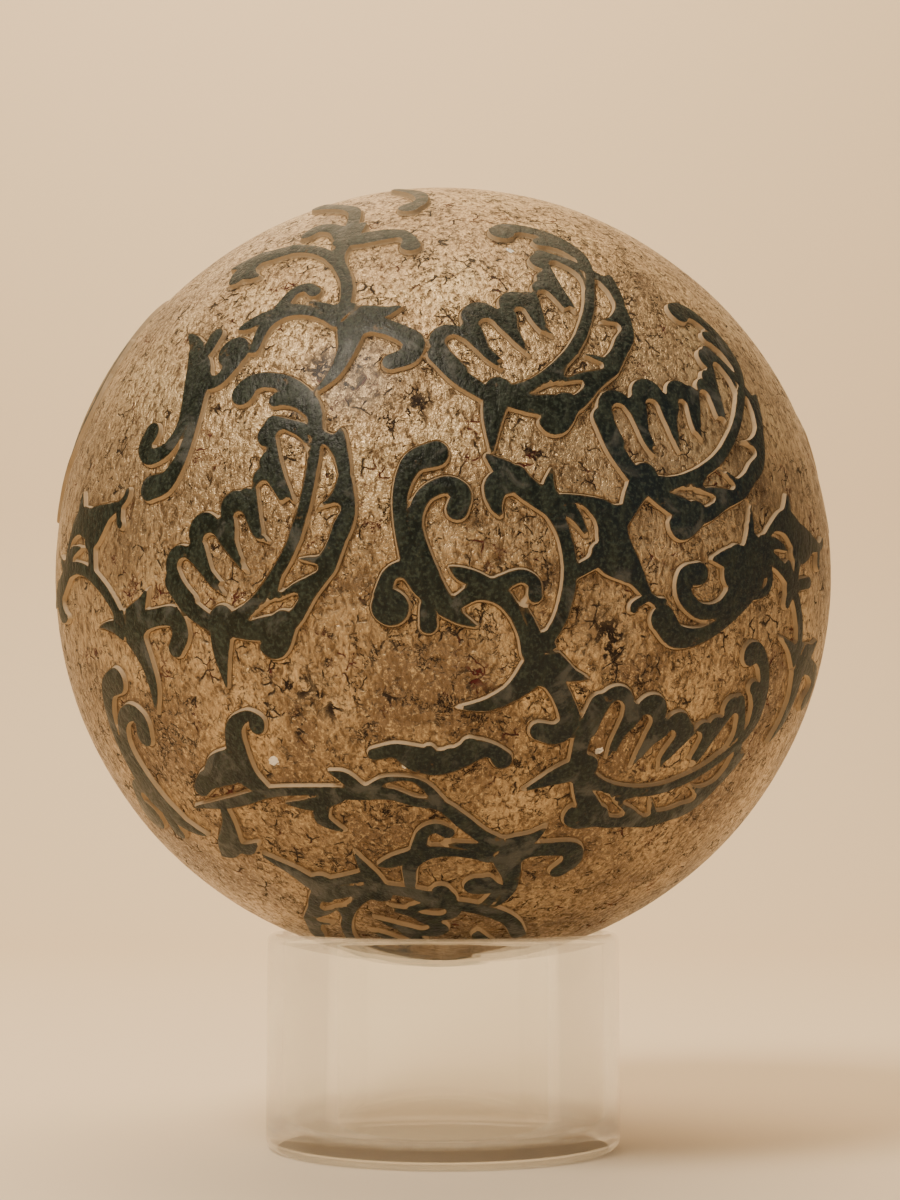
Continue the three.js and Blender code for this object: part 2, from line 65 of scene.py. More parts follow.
# ---------------------------------------------------------------- small helpers


def linear(hex_colour: str) -> tuple[float, float, float, float]:
    """Turns an sRGB hex colour into the linear RGBA that shaders take.

    Args:
        hex_colour: Six hex digits, with or without a leading hash.

    Returns:
        Linear red, green, blue and an alpha of 1.
    """
    digits = hex_colour.lstrip("#")
    parts = [int(digits[i : i + 2], 16) / 255 for i in (0, 2, 4)]
    lin = [p / 12.92 if p <= 0.04045 else ((p + 0.055) / 1.055) ** 2.4 for p in parts]
    return (lin[0], lin[1], lin[2], 1.0)


def feed(made: bpy.types.Node, inputs: Inputs) -> None:
    """Links or sets a node's inputs.

    Args:
        made: The node.
        inputs: Input name or number to the socket that feeds it, or to its number, vector or hex colour.
    """
    for key, value in inputs.items():
        if isinstance(value, Socket):
            made.id_data.links.new(value, made.inputs[key])
        else:
            made.inputs[key].default_value = linear(value) if isinstance(value, str) else value


def node(tree: Tree, kind: str, inputs: Inputs, out: str | int = 0, **settings: object) -> Socket:
    """Adds one shader node with its settings and its inputs.

    Args:
        tree: The node tree that gets the node.
        kind: The node's kind without its ShaderNode prefix, such as TexNoise.
        inputs: The inputs, as feed takes them.
        out: Name or number of the output that is wanted.
        **settings: Properties of the node itself.

    Returns:
        The wanted output.
    """
    made = tree.nodes.new("ShaderNode" + kind)
    for name, value in settings.items():
        setattr(made, name, value)
    feed(made, inputs)
    return made.outputs[out]


def grain(place: Socket, size_mm: float, detail: float = 3, rough: float = 0.55, pull: float = 0) -> Inputs:
    """Returns a noise's inputs, with its scale worked out from the real size of one blotch."""
    scale = 1 / (size_mm * MM)
    return {"Vector": place, "Scale": scale, "Detail": detail, "Roughness": rough, "Distortion": pull}


def span(value: Socket, low: float, high: float, start: float = 0.0, end: float = 1.0) -> Inputs:
    """Returns a range's inputs: a value of low gives start, and a value of high gives end."""
    return {"Value": value, "From Min": low, "From Max": high, "To Min": start, "To Max": end}


def layered(tree: Tree, base: Value, layers: Sequence[tuple[Socket, Value]]) -> Socket:
    """Lays colours over a base one after another.

    Args:
        tree: The node tree.
        base: The lowest colour.
        layers: Each layer's amount and colour, lowest first.

    Returns:
        The colour that is seen.
    """
    for amount, colour in layers:
        base = node(tree, "Mix", {FACTOR: amount, BELOW: base, ABOVE: colour}, MIXED, data_type="RGBA")
    return base


def stretched(tree: Tree, place: Socket, turn: Triple, squeeze: float) -> Socket:
    """Turns coordinates and squeezes one axis, so that a pattern runs in one direction.

    Args:
        tree: The node tree.
        place: The coordinates, in metres.
        turn: Turns about X, Y and Z in degrees.
        squeeze: Scale along the last axis.

    Returns:
        The new coordinates.
    """
    angles = tuple(math.radians(v) for v in turn)
    return node(tree, "Mapping", {"Vector": place, "Rotation": angles, "Scale": (1.0, 1.0, squeeze)})


def new_material(name: str) -> tuple[bpy.types.Material, Tree, bpy.types.Node]:
    """Makes an empty node material with one Principled shader.

    Args:
        name: The substance's name.

    Returns:
        The material, its node tree and its Principled node.
    """
    material = bpy.data.materials.new(name)
    material.use_nodes = True
    tree = material.node_tree
    tree.nodes.clear()
    shader = tree.nodes.new("ShaderNodeBsdfPrincipled")
    feed(tree.nodes.new("ShaderNodeOutputMaterial"), {"Surface": shader.outputs[0]})
    return material, tree, shader


def empty_piece(name: str) -> bpy.types.Object:
    """Adds a selected, active object whose mesh is still empty.

    Args:
        name: The piece's name.

    Returns:
        The new object.
    """
    bpy.ops.object.select_all(action="DESELECT")
    bpy.ops.mesh.primitive_plane_add(size=1 * MM)
    piece = bpy.context.object
    piece.name = piece.data.name = name
    piece.data.clear_geometry()
    return piece


# ---------------------------------------------------------------- finishes


@dataclass(frozen=True)
class Globe:
    """The ball as its finishes need it: its middle, and its radius in metres."""

    middle: Vector
    radius: float


@dataclass(frozen=True)
class Blemish:
    """One place of damage on the ball: azimuth and elevation in degrees, and radius in mm."""

    azimuth: float
    elevation: float
    radius_mm: float

    def aim(self) -> Vector:
        """Returns the direction from the ball's middle."""
        a, e = math.radians(self.azimuth), math.radians(self.elevation)
        return Vector((math.cos(e) * math.sin(a), -math.cos(e) * math.cos(a), math.sin(e)))


SPLITS = (
    Blemish(-16.5, 20.0, 5.0),
    Blemish(-10.0, 17.5, 4.0),
    Blemish(-3.0, 15.0, 3.0),
    Blemish(4.5, -19.5, 3.5),
    Blemish(7.0, -22.5, 3.0),
    Blemish(-19.0, -21.0, 4.0),
    Blemish(-15.0, -24.0, 3.0),
    Blemish(22.0, -14.0, 5.0),
    Blemish(11.5, 8.5, 2.0),
)
CHIPS = (
    Blemish(-26.0, -31.0, 1.1),
    Blemish(-5.5, -32.0, 0.6),
    Blemish(-5.0, -36.4, 0.5),
    Blemish(12.0, 42.0, 0.9),
    Blemish(23.5, -29.5, 0.8),
)
FAR_OFF = -4.0
GESSO = "#efe9de"


def nearness(tree: Tree, place: Socket, globe: Globe, marks: Sequence[Blemish]) -> Socket:
    """Measures how near a point is to any of the blemishes.

    Args:
        tree: The node tree.
        place: The coordinates, in metres.
        globe: The ball.
        marks: The blemishes.

    Returns:
        A value of 1 at a blemish's middle, 0 at its radius and negative beyond.
    """
    best: Socket | float = FAR_OFF
    for mark in marks:
        spot = globe.middle + mark.aim() * globe.radius
        gap = node(tree, "VectorMath", {0: place, 1: spot}, "Value", operation="DISTANCE")
        near = node(tree, "Math", {0: gap, 1: -1 / (mark.radius_mm * MM), 2: 1.0}, operation="MULTIPLY_ADD")
        best = node(tree, "Math", {0: near, 1: best}, operation="MAXIMUM")
    return best


def chips(tree: Tree, place: Socket, globe: Globe) -> Socket:
    """Makes the small ragged chips that show the white ground.

    Args:
        tree: The node tree.
        place: The coordinates, in metres.
        globe: The ball.

    Returns:
        A value of 1 where the surface is chipped away and 0 elsewhere.
    """
    put = partial(node, tree)
    reach = put("Math", {0: nearness(tree, place, globe, CHIPS), 1: 0.8}, operation="SUBTRACT")
    crumbs = put("TexNoise", grain(place, 0.8, 2.0))
    ragged = put("Math", {0: crumbs, 1: 1.6, 2: reach}, operation="MULTIPLY_ADD")
    return put("MapRange", span(ragged, 0.30, 0.42), **EASED)


@dataclass(frozen=True)
class CrackledLeaf:
    """Champagne-gold leaf laid on gesso and varnished: warm crinkled metal broken by dark splits."""

    globe: Globe
    blotch_mm: float = 15.0
    crinkle_mm: float = 0.75
    flake_mm: float = 0.38  # real foil is finer: this is as coarse as it needs to be seen
    crack_mm: float = 3.0
    pit_mm: float = 0.95
    lip_mm: tuple[float, float] = (0.15, 0.45)
    tones: tuple[tuple[float, str], ...] = (
        (0.32, "#7a6650"),
        (0.44, "#9c8566"),
        (0.56, "#b89e7a"),
        (0.74, "#ccb48c"),
    )

    def patches(self, tree: Tree, place: Socket) -> Socket:
        """Makes the broad patches of tone, paler above and browner below.

        Args:
            tree: The node tree.
            place: The coordinates, in metres.

        Returns:
            The patches' colour.
        """
        put = partial(node, tree)
        height = put("SeparateXYZ", {"Vector": place}, "Z")
        lift = put("MapRange", span(height, 0.045, 0.115, -0.10, 0.06), **EASED)
        patch = put("TexNoise", grain(place, self.blotch_mm, 3.0, 0.6, 0.4))
        tone = put("Math", {0: patch, 1: lift}, operation="ADD")
        colour = put("ValToRGB", {"Fac": tone}, "Color")
        stops = colour.node.color_ramp.elements
        while len(stops) < len(self.tones):
            stops.new(0.5)
        for stop, (position, hex_colour) in zip(stops, self.tones):
            stop.position, stop.color = position, linear(hex_colour)
        return colour

    def crinkles(self, tree: Tree, place: Socket) -> Socket:
        """Makes the foil's crinkles: fine folds whose direction changes from patch to patch.

        Args:
            tree: The node tree.
            place: The coordinates, in metres.

        Returns:
            A value that is high on a fold and low in a crease.
        """
        put = partial(node, tree)
        # Both directions are there all over the ball, and broad patches choose between them
        one, two = (
            put("TexNoise", grain(stretched(tree, place, turn, 0.45), self.crinkle_mm, 3.0, 0.62, 0.5))
            for turn in ((35, 40, 20), (-50, 75, 0))
        )
        which = put("MapRange", span(put("TexNoise", grain(place, 5.0, 2.0)), 0.44, 0.56), **EASED)
        return put("Mix", {"Factor": which, "A": one, "B": two}, data_type="FLOAT")

    def hairlines(self, tree: Tree, place: Socket) -> Socket:
        """Makes the hairline cracks: the borders of two sizes of cell, wavering and broken off in places.

        Args:
            tree: The node tree.
            place: The coordinates, in metres.

        Returns:
            The cracks' depth, from 0 to 1.
        """
        put = partial(node, tree)
        # The borders waver by up to half a millimetre over about a millimetre
        waver = put("TexNoise", {"Vector": place, "Scale": 900.0, "Detail": 2.0}, "Color")
        bent = put("VectorMath", {0: waver, 1: (0.9 * MM,) * 3, 2: place}, operation="MULTIPLY_ADD")
        lines: Socket | float = 0.0
        for size_mm, width, depth in ((2.6, 0.055, 0.95), (1.2, 0.09, 0.5)):
            cell = {"Vector": bent, "Scale": 1 / (size_mm * MM), "Randomness": 1.0}
            border = put("TexVoronoi", cell, "Distance", feature="DISTANCE_TO_EDGE")
            line = put("MapRange", span(border, 0.02, width, 1.0, 0.0), **EASED)
            breaks = put("TexNoise", grain(place, size_mm * 1.2))
            kept = put("MapRange", span(breaks, 0.54, 0.62, 0.0, depth), **EASED)
            line = put("Math", {0: line, 1: kept}, operation="MULTIPLY")
            lines = put("Math", {0: line, 1: lines}, operation="MAXIMUM")
        return lines

    def splits(self, tree: Tree, place: Socket) -> Socket:
        """Makes the dark splits: short squiggles in patches, wider where the ball is damaged.

        Args:
            tree: The node tree.
            place: The coordinates, in metres.

        Returns:
            The depth of splits, hairlines and pits, from 0 to 1.
        """
        put = partial(node, tree)
        hurt = put("MapRange", span(nearness(tree, place, self.globe, SPLITS), 0.0, 0.9), **EASED)
        patchy = put("MapRange", span(put("TexNoise", grain(place, 4.2, 3.0, 0.6)), 0.50, 0.60), **EASED)
        gate = put("Math", {0: patchy, 1: hurt}, operation="MAXIMUM")
        # A squiggle follows the middle contour of a rough noise
        width = put("Math", {0: hurt, 1: 0.050, 2: 0.018}, operation="MULTIPLY_ADD")
        rough = put("TexNoise", grain(place, self.crack_mm, 6.0, 0.66, 0.4))
        off = put("Math", {0: rough, 1: 0.5}, operation="SUBTRACT")
        off = put("Math", {0: off}, operation="ABSOLUTE")
        off = put("Math", {0: off, 1: width}, operation="DIVIDE")
        squiggle = put("MapRange", span(off, 0.45, 1.0, 1.0, 0.0), **EASED)
        pits = put("TexNoise", grain(place, self.pit_mm, 2.0, 0.5, 1.0))
        pits = put("MapRange", span(pits, 0.68, 0.72, 0.0, 0.85), **EASED)
        depth = self.hairlines(tree, place)
        for mark in (squiggle, pits):
            mark = put("Math", {0: mark, 1: gate}, operation="MULTIPLY")
            depth = put("Math", {0: mark, 1: depth}, operation="MAXIMUM")
        return depth

    def build(self) -> bpy.types.Material:
        """Makes the material.

        Returns:
            The gold leaf material.
        """
        material, tree, shader = new_material("varnished_gold_leaf")
        put = partial(node, tree)
        place = put("TexCoord", {}, "Object")
        edge = put("Attribute", {}, "Fac", attribute_name="edge_mm")
        ground = put("MapRange", span(edge, *self.lip_mm), **EASED)
        crinkle = self.crinkles(tree, place)
        flake = put("TexNoise", grain(place, self.flake_mm, 2.0, 0.6, 0.6))
        # Painted shade and highlight: the gold is painted brown in the crinkles' creases and pale on their
        # folds, along the same relief that the bump uses, and it is specked where the foil is thin
        outside_painted_crease_shade = put("MapRange", span(crinkle, 0.34, 0.55), **EASED)
        half = put("Math", {0: crinkle, 1: 0.5}, operation="MULTIPLY")
        painted_fold_highlight = put("Math", {0: flake, 1: 0.5, 2: half}, operation="MULTIPLY_ADD")
        painted_fold_highlight = put("MapRange", span(painted_fold_highlight, 0.52, 0.64), **EASED)
        painted_fold_highlight = put("Math", {0: painted_fold_highlight, 1: 0.55}, operation="MULTIPLY")
        speck = put("MapRange", span(flake, 0.30, 0.46, 0.22, 0.0), **EASED)
        shades = [(outside_painted_crease_shade, self.patches(tree, place)), (painted_fold_highlight, "#e0c495"), (speck, "#5a4129")]
        # 6b563d is the painted shade that shows in the creases, and #e0c495 the painted highlight on the
        # folds
        gold = layered(tree, "#6b563d", shades)
        # A plain lip runs round the ornament, and the splits are only in the gold
        split = put("Math", {0: self.splits(tree, place), 1: ground}, operation="MULTIPLY")
        chip = chips(tree, place, self.globe)
        lip = layered(tree, "#9a876b", [(put("TexNoise", grain(place, 2.5)), "#b5a084")])
        red = put("MapRange", span(put("TexNoise", grain(place, 6.0)), 0.56, 0.62), **EASED)
        bole = layered(tree, "#1e120a", [(red, "#4a120e")])
        colour = layered(tree, lip, [(ground, gold), (split, bole), (chip, GESSO)])
        # Splits, chips and lip are duller and less metallic than the foil
        lost = put("Math", {0: split, 1: chip}, operation="MAXIMUM")
        bare = put("Math", {0: 1.0, 1: lost}, operation="SUBTRACT")
        metal = put("MapRange", span(edge, *self.lip_mm, 0.25, 0.7), **EASED)
        metal = put("Math", {0: bare, 1: metal}, operation="MULTIPLY")
        rim = put("Math", {0: 1.0, 1: ground}, operation="SUBTRACT")
        dull = put("Math", {0: split, 1: rim}, operation="MAXIMUM")
        gloss = put("MapRange", span(crinkle, 0.3, 0.7, 0.48, 0.30), **EASED)
        rough = put("Math", {0: dull, 1: 0.4, 2: gloss}, operation="MULTIPLY_ADD")
        folds = put("Math", {0: flake, 1: 0.35, 2: crinkle}, operation="MULTIPLY_ADD")
        folds = put("Math", {0: folds, 1: ground}, operation="MULTIPLY")
        relief = put("Math", {0: split, 1: -0.8, 2: folds}, operation="MULTIPLY_ADD")
        surface = {
            "Base Color": colour,
            "Metallic": metal,
            "Roughness": rough,
            "Specular IOR Level": 0.2,
            "Coat Weight": put("Math", {0: ground, 1: 0.10}, operation="MULTIPLY"),
            "Coat Roughness": 0.22,
            "Normal": put("Bump", {"Height": relief, "Strength": 1.0, "Distance": 0.5 * MM}),
        }
        feed(shader, surface)
        return material


@dataclass(frozen=True)
class WornEnamel:
    """Near-black enamel brushed over the raised ornament, rubbed grey and brown by handling."""

    globe: Globe
    cast_mm: float = 18.0
    stroke_mm: float = 1.8
    pore_mm: float = 0.5
    rub_mm: float = 6.0
    tarnish_mm: float = 3.4

    def base(self, tree: Tree, place: Socket) -> Socket:
        """Makes the enamel's colour: olive above and to the left, and a painted cool reflection that turns it
        blue-black to the right and below, away from the key light.

        Args:
            tree: The node tree.
            place: The coordinates, in metres.

        Returns:
            The colour.
        """
        put = partial(node, tree)
        side, height = (put("SeparateXYZ", {"Vector": place}, axis) for axis in "XZ")
        # Painted reflection: a cool blue-black laid on by side, growing to the right and downwards, broken up
        # by broad noise
        slope = put("Math", {0: side, 1: height}, operation="SUBTRACT")
        slope = put("Math", {0: slope, 1: 9.0}, operation="MULTIPLY")
        cast = put("Math", {0: put("TexNoise", grain(place, self.cast_mm)), 1: 0.8}, operation="ADD")
        painted_cool_reflection = put("Math", {0: slope, 1: cast}, operation="ADD")
        painted_cool_reflection = put("MapRange", span(painted_cool_reflection, 0.2, 1.0), **EASED)
        return layered(tree, "#12170c", [(painted_cool_reflection, "#0c171b")])

    def build(self) -> bpy.types.Material:
        """Makes the material.

        Returns:
            The dark enamel material.
        """
        material, tree, shader = new_material("worn_dark_enamel")
        put = partial(node, tree)
        place = put("TexCoord", {}, "Object")
        edge = put("Attribute", {}, "Fac", attribute_name="edge_mm")
        height = put("SeparateXYZ", {"Vector": place}, "Z")
        strokes = stretched(tree, place, (20, 40, 10), 0.4)
        brushed = put("TexNoise", grain(strokes, self.stroke_mm, 4.0, 0.62, 0.8))
        pores = put("TexNoise", grain(place, self.pore_mm, 2.0))
        rubbed = put("TexNoise", grain(place, self.rub_mm, 4.0, 0.62, 0.8))
        low = put("MapRange", span(height, 0.045, 0.085, 0.07, 0.0), **EASED)
        haze = put("Math", {0: rubbed, 1: low}, operation="ADD")
        tarnish = put("TexNoise", grain(place, self.tarnish_mm, 5.0, 0.65))
        coats = (
            (brushed, (0.42, 0.66, 0.0, 0.7), "#2b3228"),  # brush marks
            (pores, (0.50, 0.66, 0.0, 0.45), "#404a40"),  # pale grains
            (pores, (0.30, 0.44, 0.7, 0.0), "#090b07"),  # dark pores
            (haze, (0.56, 0.70, 0.0, 0.8), "#4c4d49"),  # grey rubbing, with more grey added towards the bottom
            (tarnish, (0.64, 0.72, 0.0, 0.8), "#5c472c"),  # brown tarnish
        )
        layers = [(put("MapRange", span(value, *limits), **EASED), colour) for value, limits, colour in coats]
        # Handling wears the edges through to brown, here more and there less
        rim = put("MapRange", span(edge, -0.22, 0.0), **EASED)
        worn = put("MapRange", span(put("TexNoise", grain(place, 2.0)), 0.42, 0.6, 0.2, 0.9), **EASED)
        layers.append((put("Math", {0: rim, 1: worn}, operation="MULTIPLY"), "#54432a"))
        layers.append((chips(tree, place, self.globe), GESSO))
        fine = put("TexNoise", grain(place, 0.6))
        relief = put("Math", {0: fine, 1: 0.5, 2: brushed}, operation="MULTIPLY_ADD")
        surface = {
            "Base Color": layered(tree, self.base(tree, place), layers),
            "Roughness": put("MapRange", span(brushed, 0.3, 0.7, 0.36, 0.55), **EASED),
            "Specular IOR Level": 0.22,
            "Coat Weight": 0.05,
            "Coat Roughness": 0.2,
            "Normal": put("Bump", {"Height": relief, "Strength": 0.7, "Distance": 0.4 * MM}),
        }
        feed(shader, surface)
        return material


@dataclass(frozen=True)
class ClearGlass:
    """Pressed soda-lime glass, polished by fire: clear, with a faint cast at its edges."""

    tint: str = "#f9fbf8"
    body: float = 0.5

    def build(self) -> bpy.types.Material:
        """Makes the material.

        Returns:
            The glass material.
        """
        material, _, shader = new_material("clear_soda_lime_glass")
        polish = {"Roughness": 0.01, "IOR": 1.5, "Transmission Weight": 1.0}
        feed(shader, {"Base Color": self.tint, "Alpha": self.body, **polish})
        return material


@dataclass(frozen=True)
class PlainPaint:
    """Matt studio paint for the floor and the wall."""

    colour: str
    roughness: float = 0.6

    def build(self, name: str) -> bpy.types.Material:
        """Makes the material.

        Args:
            name: The material's name.

        Returns:
            The paint material.
        """
        material, _, shader = new_material(name)
        feed(shader, {"Base Color": self.colour, "Roughness": self.roughness})
        return material


# ---------------------------------------------------------------- ornament


class Kind(Enum):
    """What a stroke does to the shape before it."""

    ADD = "add"
    CUT = "cut"


@dataclass(frozen=True)
class Stroke:
    """One brush-like stroke: knots of x, y and half width in mm."""

    kind: Kind
    knots: tuple[Knot, ...]

    def moved(self, degrees: float, dx: float, dy: float) -> "Stroke":
        """Returns the stroke turned about the origin and shifted, in degrees and mm."""
        c, s = math.cos(math.radians(degrees)), math.sin(math.radians(degrees))
        return Stroke(self.kind, tuple((x * c - y * s + dx, x * s + y * c + dy, w) for x, y, w in self.knots))

    def spine(self, per: int = 6) -> np.ndarray:
        """Samples the smooth curve through the knots.

        Args:
            per: Samples to each pair of knots.

        Returns:
            Rows of x, y and half width.
        """
        knots = np.array(self.knots)
        first, last = 2 * knots[0] - knots[1], 2 * knots[-1] - knots[-2]
        p = np.vstack([first, knots, last])
        rows = []
        for i in range(1, len(p) - 2):
            a, b, c, d = p[i - 1 : i + 3]
            for f in np.arange(per) / per:
                square, cube = 2 * a - 5 * b + 4 * c - d, 3 * b - a - 3 * c + d
                rows.append(0.5 * (2 * b + (c - a) * f + square * f**2 + cube * f**3))
        rows.append(knots[-1])
        return np.array(rows)


def add(*knots: Knot) -> Stroke:
    """Returns a stroke that adds to the shape."""
    return Stroke(Kind.ADD, knots)


def cut(*knots: Knot) -> Stroke:
    """Returns a stroke that is cut out of the shape."""
    return Stroke(Kind.CUT, knots)


@dataclass(frozen=True)
class Leaf:
    """A paisley leaf: scalloped left band with teardrops, a rib, and a barbed right band."""

    carved: bool = True
    lobes: tuple[Knot, ...] = (
        (-4.6, 11.9, 1.8),
        (-1.9, 6.2, 1.8),
        (-4.1, 0.9, 2.4),
        (-7.3, -4.0, 2.7),
        (-9.2, -9.8, 2.8),
    )

    def strokes(self) -> list[Stroke]:
        """Returns the leaf's strokes in drawing order."""
        outer = [
            add(
                (-1.0, 11.6, 3.0), (1.0, 5.0, 3.8), (-0.6, -3.0, 4.6), (-3.0, -8.8, 5.2),
                (-2.0, -12.6, 3.0),
            ),
            add((-9.4, -12.4, 1.7), (-5.0, -14.3, 1.6), (0.2, -14.8, 1.6)),
            *(add((x, y, w), (x + 1.5, y, w - 0.3)) for x, y, w in self.lobes),
            add((-5.0, 13.4, 1.3), (-1.0, 14.7, 0.7), (4.0, 14.9, 0.8)),
            add((4.0, 14.4, 1.0), (7.6, 10.8, 1.9), (9.9, 6.5, 2.6), (10.1, 3.0, 2.8), (10.2, -0.5, 3.0)),
            add(
                (10.2, -0.5, 3.0), (9.2, -4.5, 3.0), (8.4, -9.6, 2.8), (5.4, -12.6, 1.9), (1.4, -14.2, 1.5),
            ),
        ]
        hollows = [
            cut((-2.6, 12.5, 1.0), (0.0, 11.2, 2.0), (1.7, 9.0, 1.6), (3.6, 6.2, 0.8)),
            cut((-1.4, 5.0, 1.05), (0.5, 3.4, 1.6), (2.2, 1.8, 2.0)),
            cut((-2.9, -0.1, 0.9), (-0.9, -2.2, 1.4), (1.6, -3.8, 1.9)),
            cut((-5.8, -4.9, 1.25), (-4.0, -6.3, 1.7), (0.5, -8.0, 1.9)),
            cut((-8.6, -9.7, 1.2), (-6.5, -10.5, 1.6), (-1.5, -12.3, 1.6)),
            cut(
                (3.6, 6.0, 0.8), (3.2, 2.0, 1.9), (3.2, -2.0, 2.1), (2.3, -6.0, 2.3), (0.6, -9.6, 2.2),
                (-1.4, -12.2, 1.7),
            ),
            cut((-4.4, -13.0, 0.5), (-1.6, -12.9, 1.0), (0.9, -12.6, 1.1)),
            cut((3.9, 13.2, 0.8), (6.0, 10.9, 1.6), (6.9, 8.4, 1.2), (6.8, 6.3, 0.5), (7.0, 5.0, 0.2)),
            cut((9.5, 6.7, 0.9), (8.6, 4.6, 1.7), (8.7, 2.0, 1.9), (8.5, 0.0, 1.6), (7.7, -1.4, 0.9)),
            cut((10.3, -1.6, 0.7), (8.8, -2.2, 1.5), (7.8, -3.8, 1.2), (7.2, -6.2, 0.4)),
            cut((9.3, -6.4, 0.75), (8.2, -8.0, 1.3), (6.2, -9.8, 0.8), (4.3, -12.0, 0.15)),
        ]
        drops = [
            add((-2.5, 8.6, 1.5), (-0.2, 7.5, 0.8), (3.7, 5.2, 0.1)),
            add((-3.2, 3.0, 1.2), (-1.1, 0.8, 0.85), (0.6, -0.7, 0.5), (2.8, -1.2, 0.1)),
            add((-4.3, -2.0, 1.6), (-2.9, -3.4, 0.95), (-1.5, -4.9, 0.55), (1.5, -6.3, 0.1)),
            add((-7.4, -6.9, 1.6), (-4.9, -8.6, 0.95), (-3.0, -9.8, 0.5), (-0.7, -10.5, 0.1)),
            add((-9.4, -11.8, 0.9), (-7.3, -12.7, 0.6), (-4.8, -13.1, 0.1)),
            add((10.6, -0.4, 0.5), (9.2, -0.9, 0.35), (8.0, -1.4, 0.1)),
            add((10.9, -3.9, 0.9), (8.9, -5.3, 0.55), (7.0, -7.8, 0.1)),
        ]
        last = [
            add(
                (1.4, -14.0, 1.2), (3.6, -10.8, 0.85), (5.2, -7.0, 0.85), (6.05, -2.5, 0.85),
                (6.1, 1.0, 0.85),
            ),
            add((6.1, 1.0, 0.85), (5.2, 6.0, 0.8), (3.6, 11.0, 0.75), (2.0, 15.0, 0.75)),
            add((4.7, 16.9, 0.2), (5.4, 15.2, 1.0), (8.0, 12.2, 0.9)),
            add((9.3, -10.4, 1.9), (9.2, -13.6, 1.9), (7.9, -14.6, 0.8)),
            add((0.3, -13.8, 2.0), (1.5, -17.8, 1.4), (3.9, -22.6, 0.15)),
            add(
                (1.8, 15.0, 0.9), (-1.0, 18.0, 1.2), (-5.5, 19.4, 1.2), (-9.8, 18.8, 1.2),
                (-12.0, 17.2, 1.5), (-12.3, 15.6, 1.9),
            ),
            add((-0.4, 17.0, 0.7), (-3.4, 18.0, 1.2), (-5.9, 17.4, 1.2), (-6.7, 16.6, 1.0)),
        ]
        return outer + hollows + (drops if self.carved else []) + last


def star() -> list[Stroke]:
    """Returns the knot where stems meet: two spikes, a hook and a pointed tail."""
    knot = [
        add((-3.2, 1.7, 1.3), (0.0, 0.6, 2.4), (2.6, 1.0, 1.2)),
        add((0.2, 1.6, 1.9), (2.6, 3.4, 1.0), (4.3, 5.7, 0.1)),
        add((-1.2, -0.2, 1.8), (-5.5, 0.9, 0.8), (-9.4, 1.1, 0.1)),
        add((1.5, 0.8, 1.5), (5.4, 1.3, 1.3), (9.0, 1.0, 1.5), (9.8, -1.4, 1.5), (8.3, -3.5, 1.3)),
        add((-0.2, -0.4, 2.2), (1.5, -4.6, 1.3), (1.8, -8.6, 0.9), (0.6, -12.6, 0.1)),
    ]
    seam = cut((4.6, -10.6, 0.22), (7.4, -10.5, 0.22), (10.4, -9.8, 0.22))
    return [*(s.moved(-66, 8.2, -12.2) for s in knot), seam]


def crescents() -> list[Stroke]:
    """Returns two crescents, one inside the other, each ending in a bulb."""
    return [
        add(
            (-3.5, 9.0, 1.5), (-3.0, 11.2, 1.35), (-5.1, 12.3, 1.2), (-8.1, 10.6, 1.05), (-9.1, 6.4, 1.0),
            (-6.8, -0.6, 1.3), (-4.6, -3.8, 1.0),
        ),
        add(
            (-6.4, 16.6, 1.8), (-9.6, 15.2, 1.5), (-11.2, 10.5, 1.0), (-10.4, 4.0, 1.05), (-8.4, -0.8, 1.5),
            (-5.2, -4.0, 0.8),
        ),
    ]


def buds() -> list[Stroke]:
    """Returns the buds at the foot of the crescents."""
    return [
        add((-12.5, -4.1, 2.4), (-12.2, -4.3, 2.4)),
        add((-13.4, -2.6, 1.2), (-12.4, 0.2, 1.0), (-10.2, 0.8, 1.2), (-8.0, -1.0, 1.5)),
        add((-7.2, -6.5, 1.2), (-7.3, -3.8, 1.0), (-6.0, -2.0, 1.2)),
        add((-5.0, -4.2, 1.2), (-2.9, -5.6, 0.8), (-0.6, -6.7, 0.1)),
    ]


def stem() -> list[Stroke]:
    """Returns a long stem with a lobed head and a fork."""
    return [
        add((7.4, -10.6, 0.8), (10.6, -5.6, 0.9), (11.9, 0.5, 0.95), (11.0, 6.0, 0.95), (8.6, 10.4, 1.2)),
        add((0.5, 16.4, 0.3), (3.2, 14.2, 1.5), (6.2, 11.8, 1.6), (9.2, 9.4, 1.2)),
        add((4.4, 13.4, 1.8), (1.8, 12.3, 1.7), (1.6, 9.8, 0.9), (2.3, 8.3, 0.3)),
    ]


def sprig() -> list[Stroke]:
    """Returns the side shoot with its hooked bud."""
    return [
        add(
            (6.2, -10.2, 0.8), (5.6, -7.6, 0.75), (4.4, -4.9, 0.9), (2.8, -2.8, 1.2), (0.9, -1.7, 1.5),
            (-1.5, -2.2, 1.1), (-4.7, -4.5, 0.8),
        ),
        add((0.4, -1.2, 1.2), (-1.2, -0.3, 1.1), (-3.0, 0.4, 0.9), (-4.4, 1.2, 0.2)),
        add((2.3, -0.9, 1.1), (5.0, 0.2, 0.9), (6.8, -0.6, 0.9), (7.1, -2.4, 1.0)),
    ]


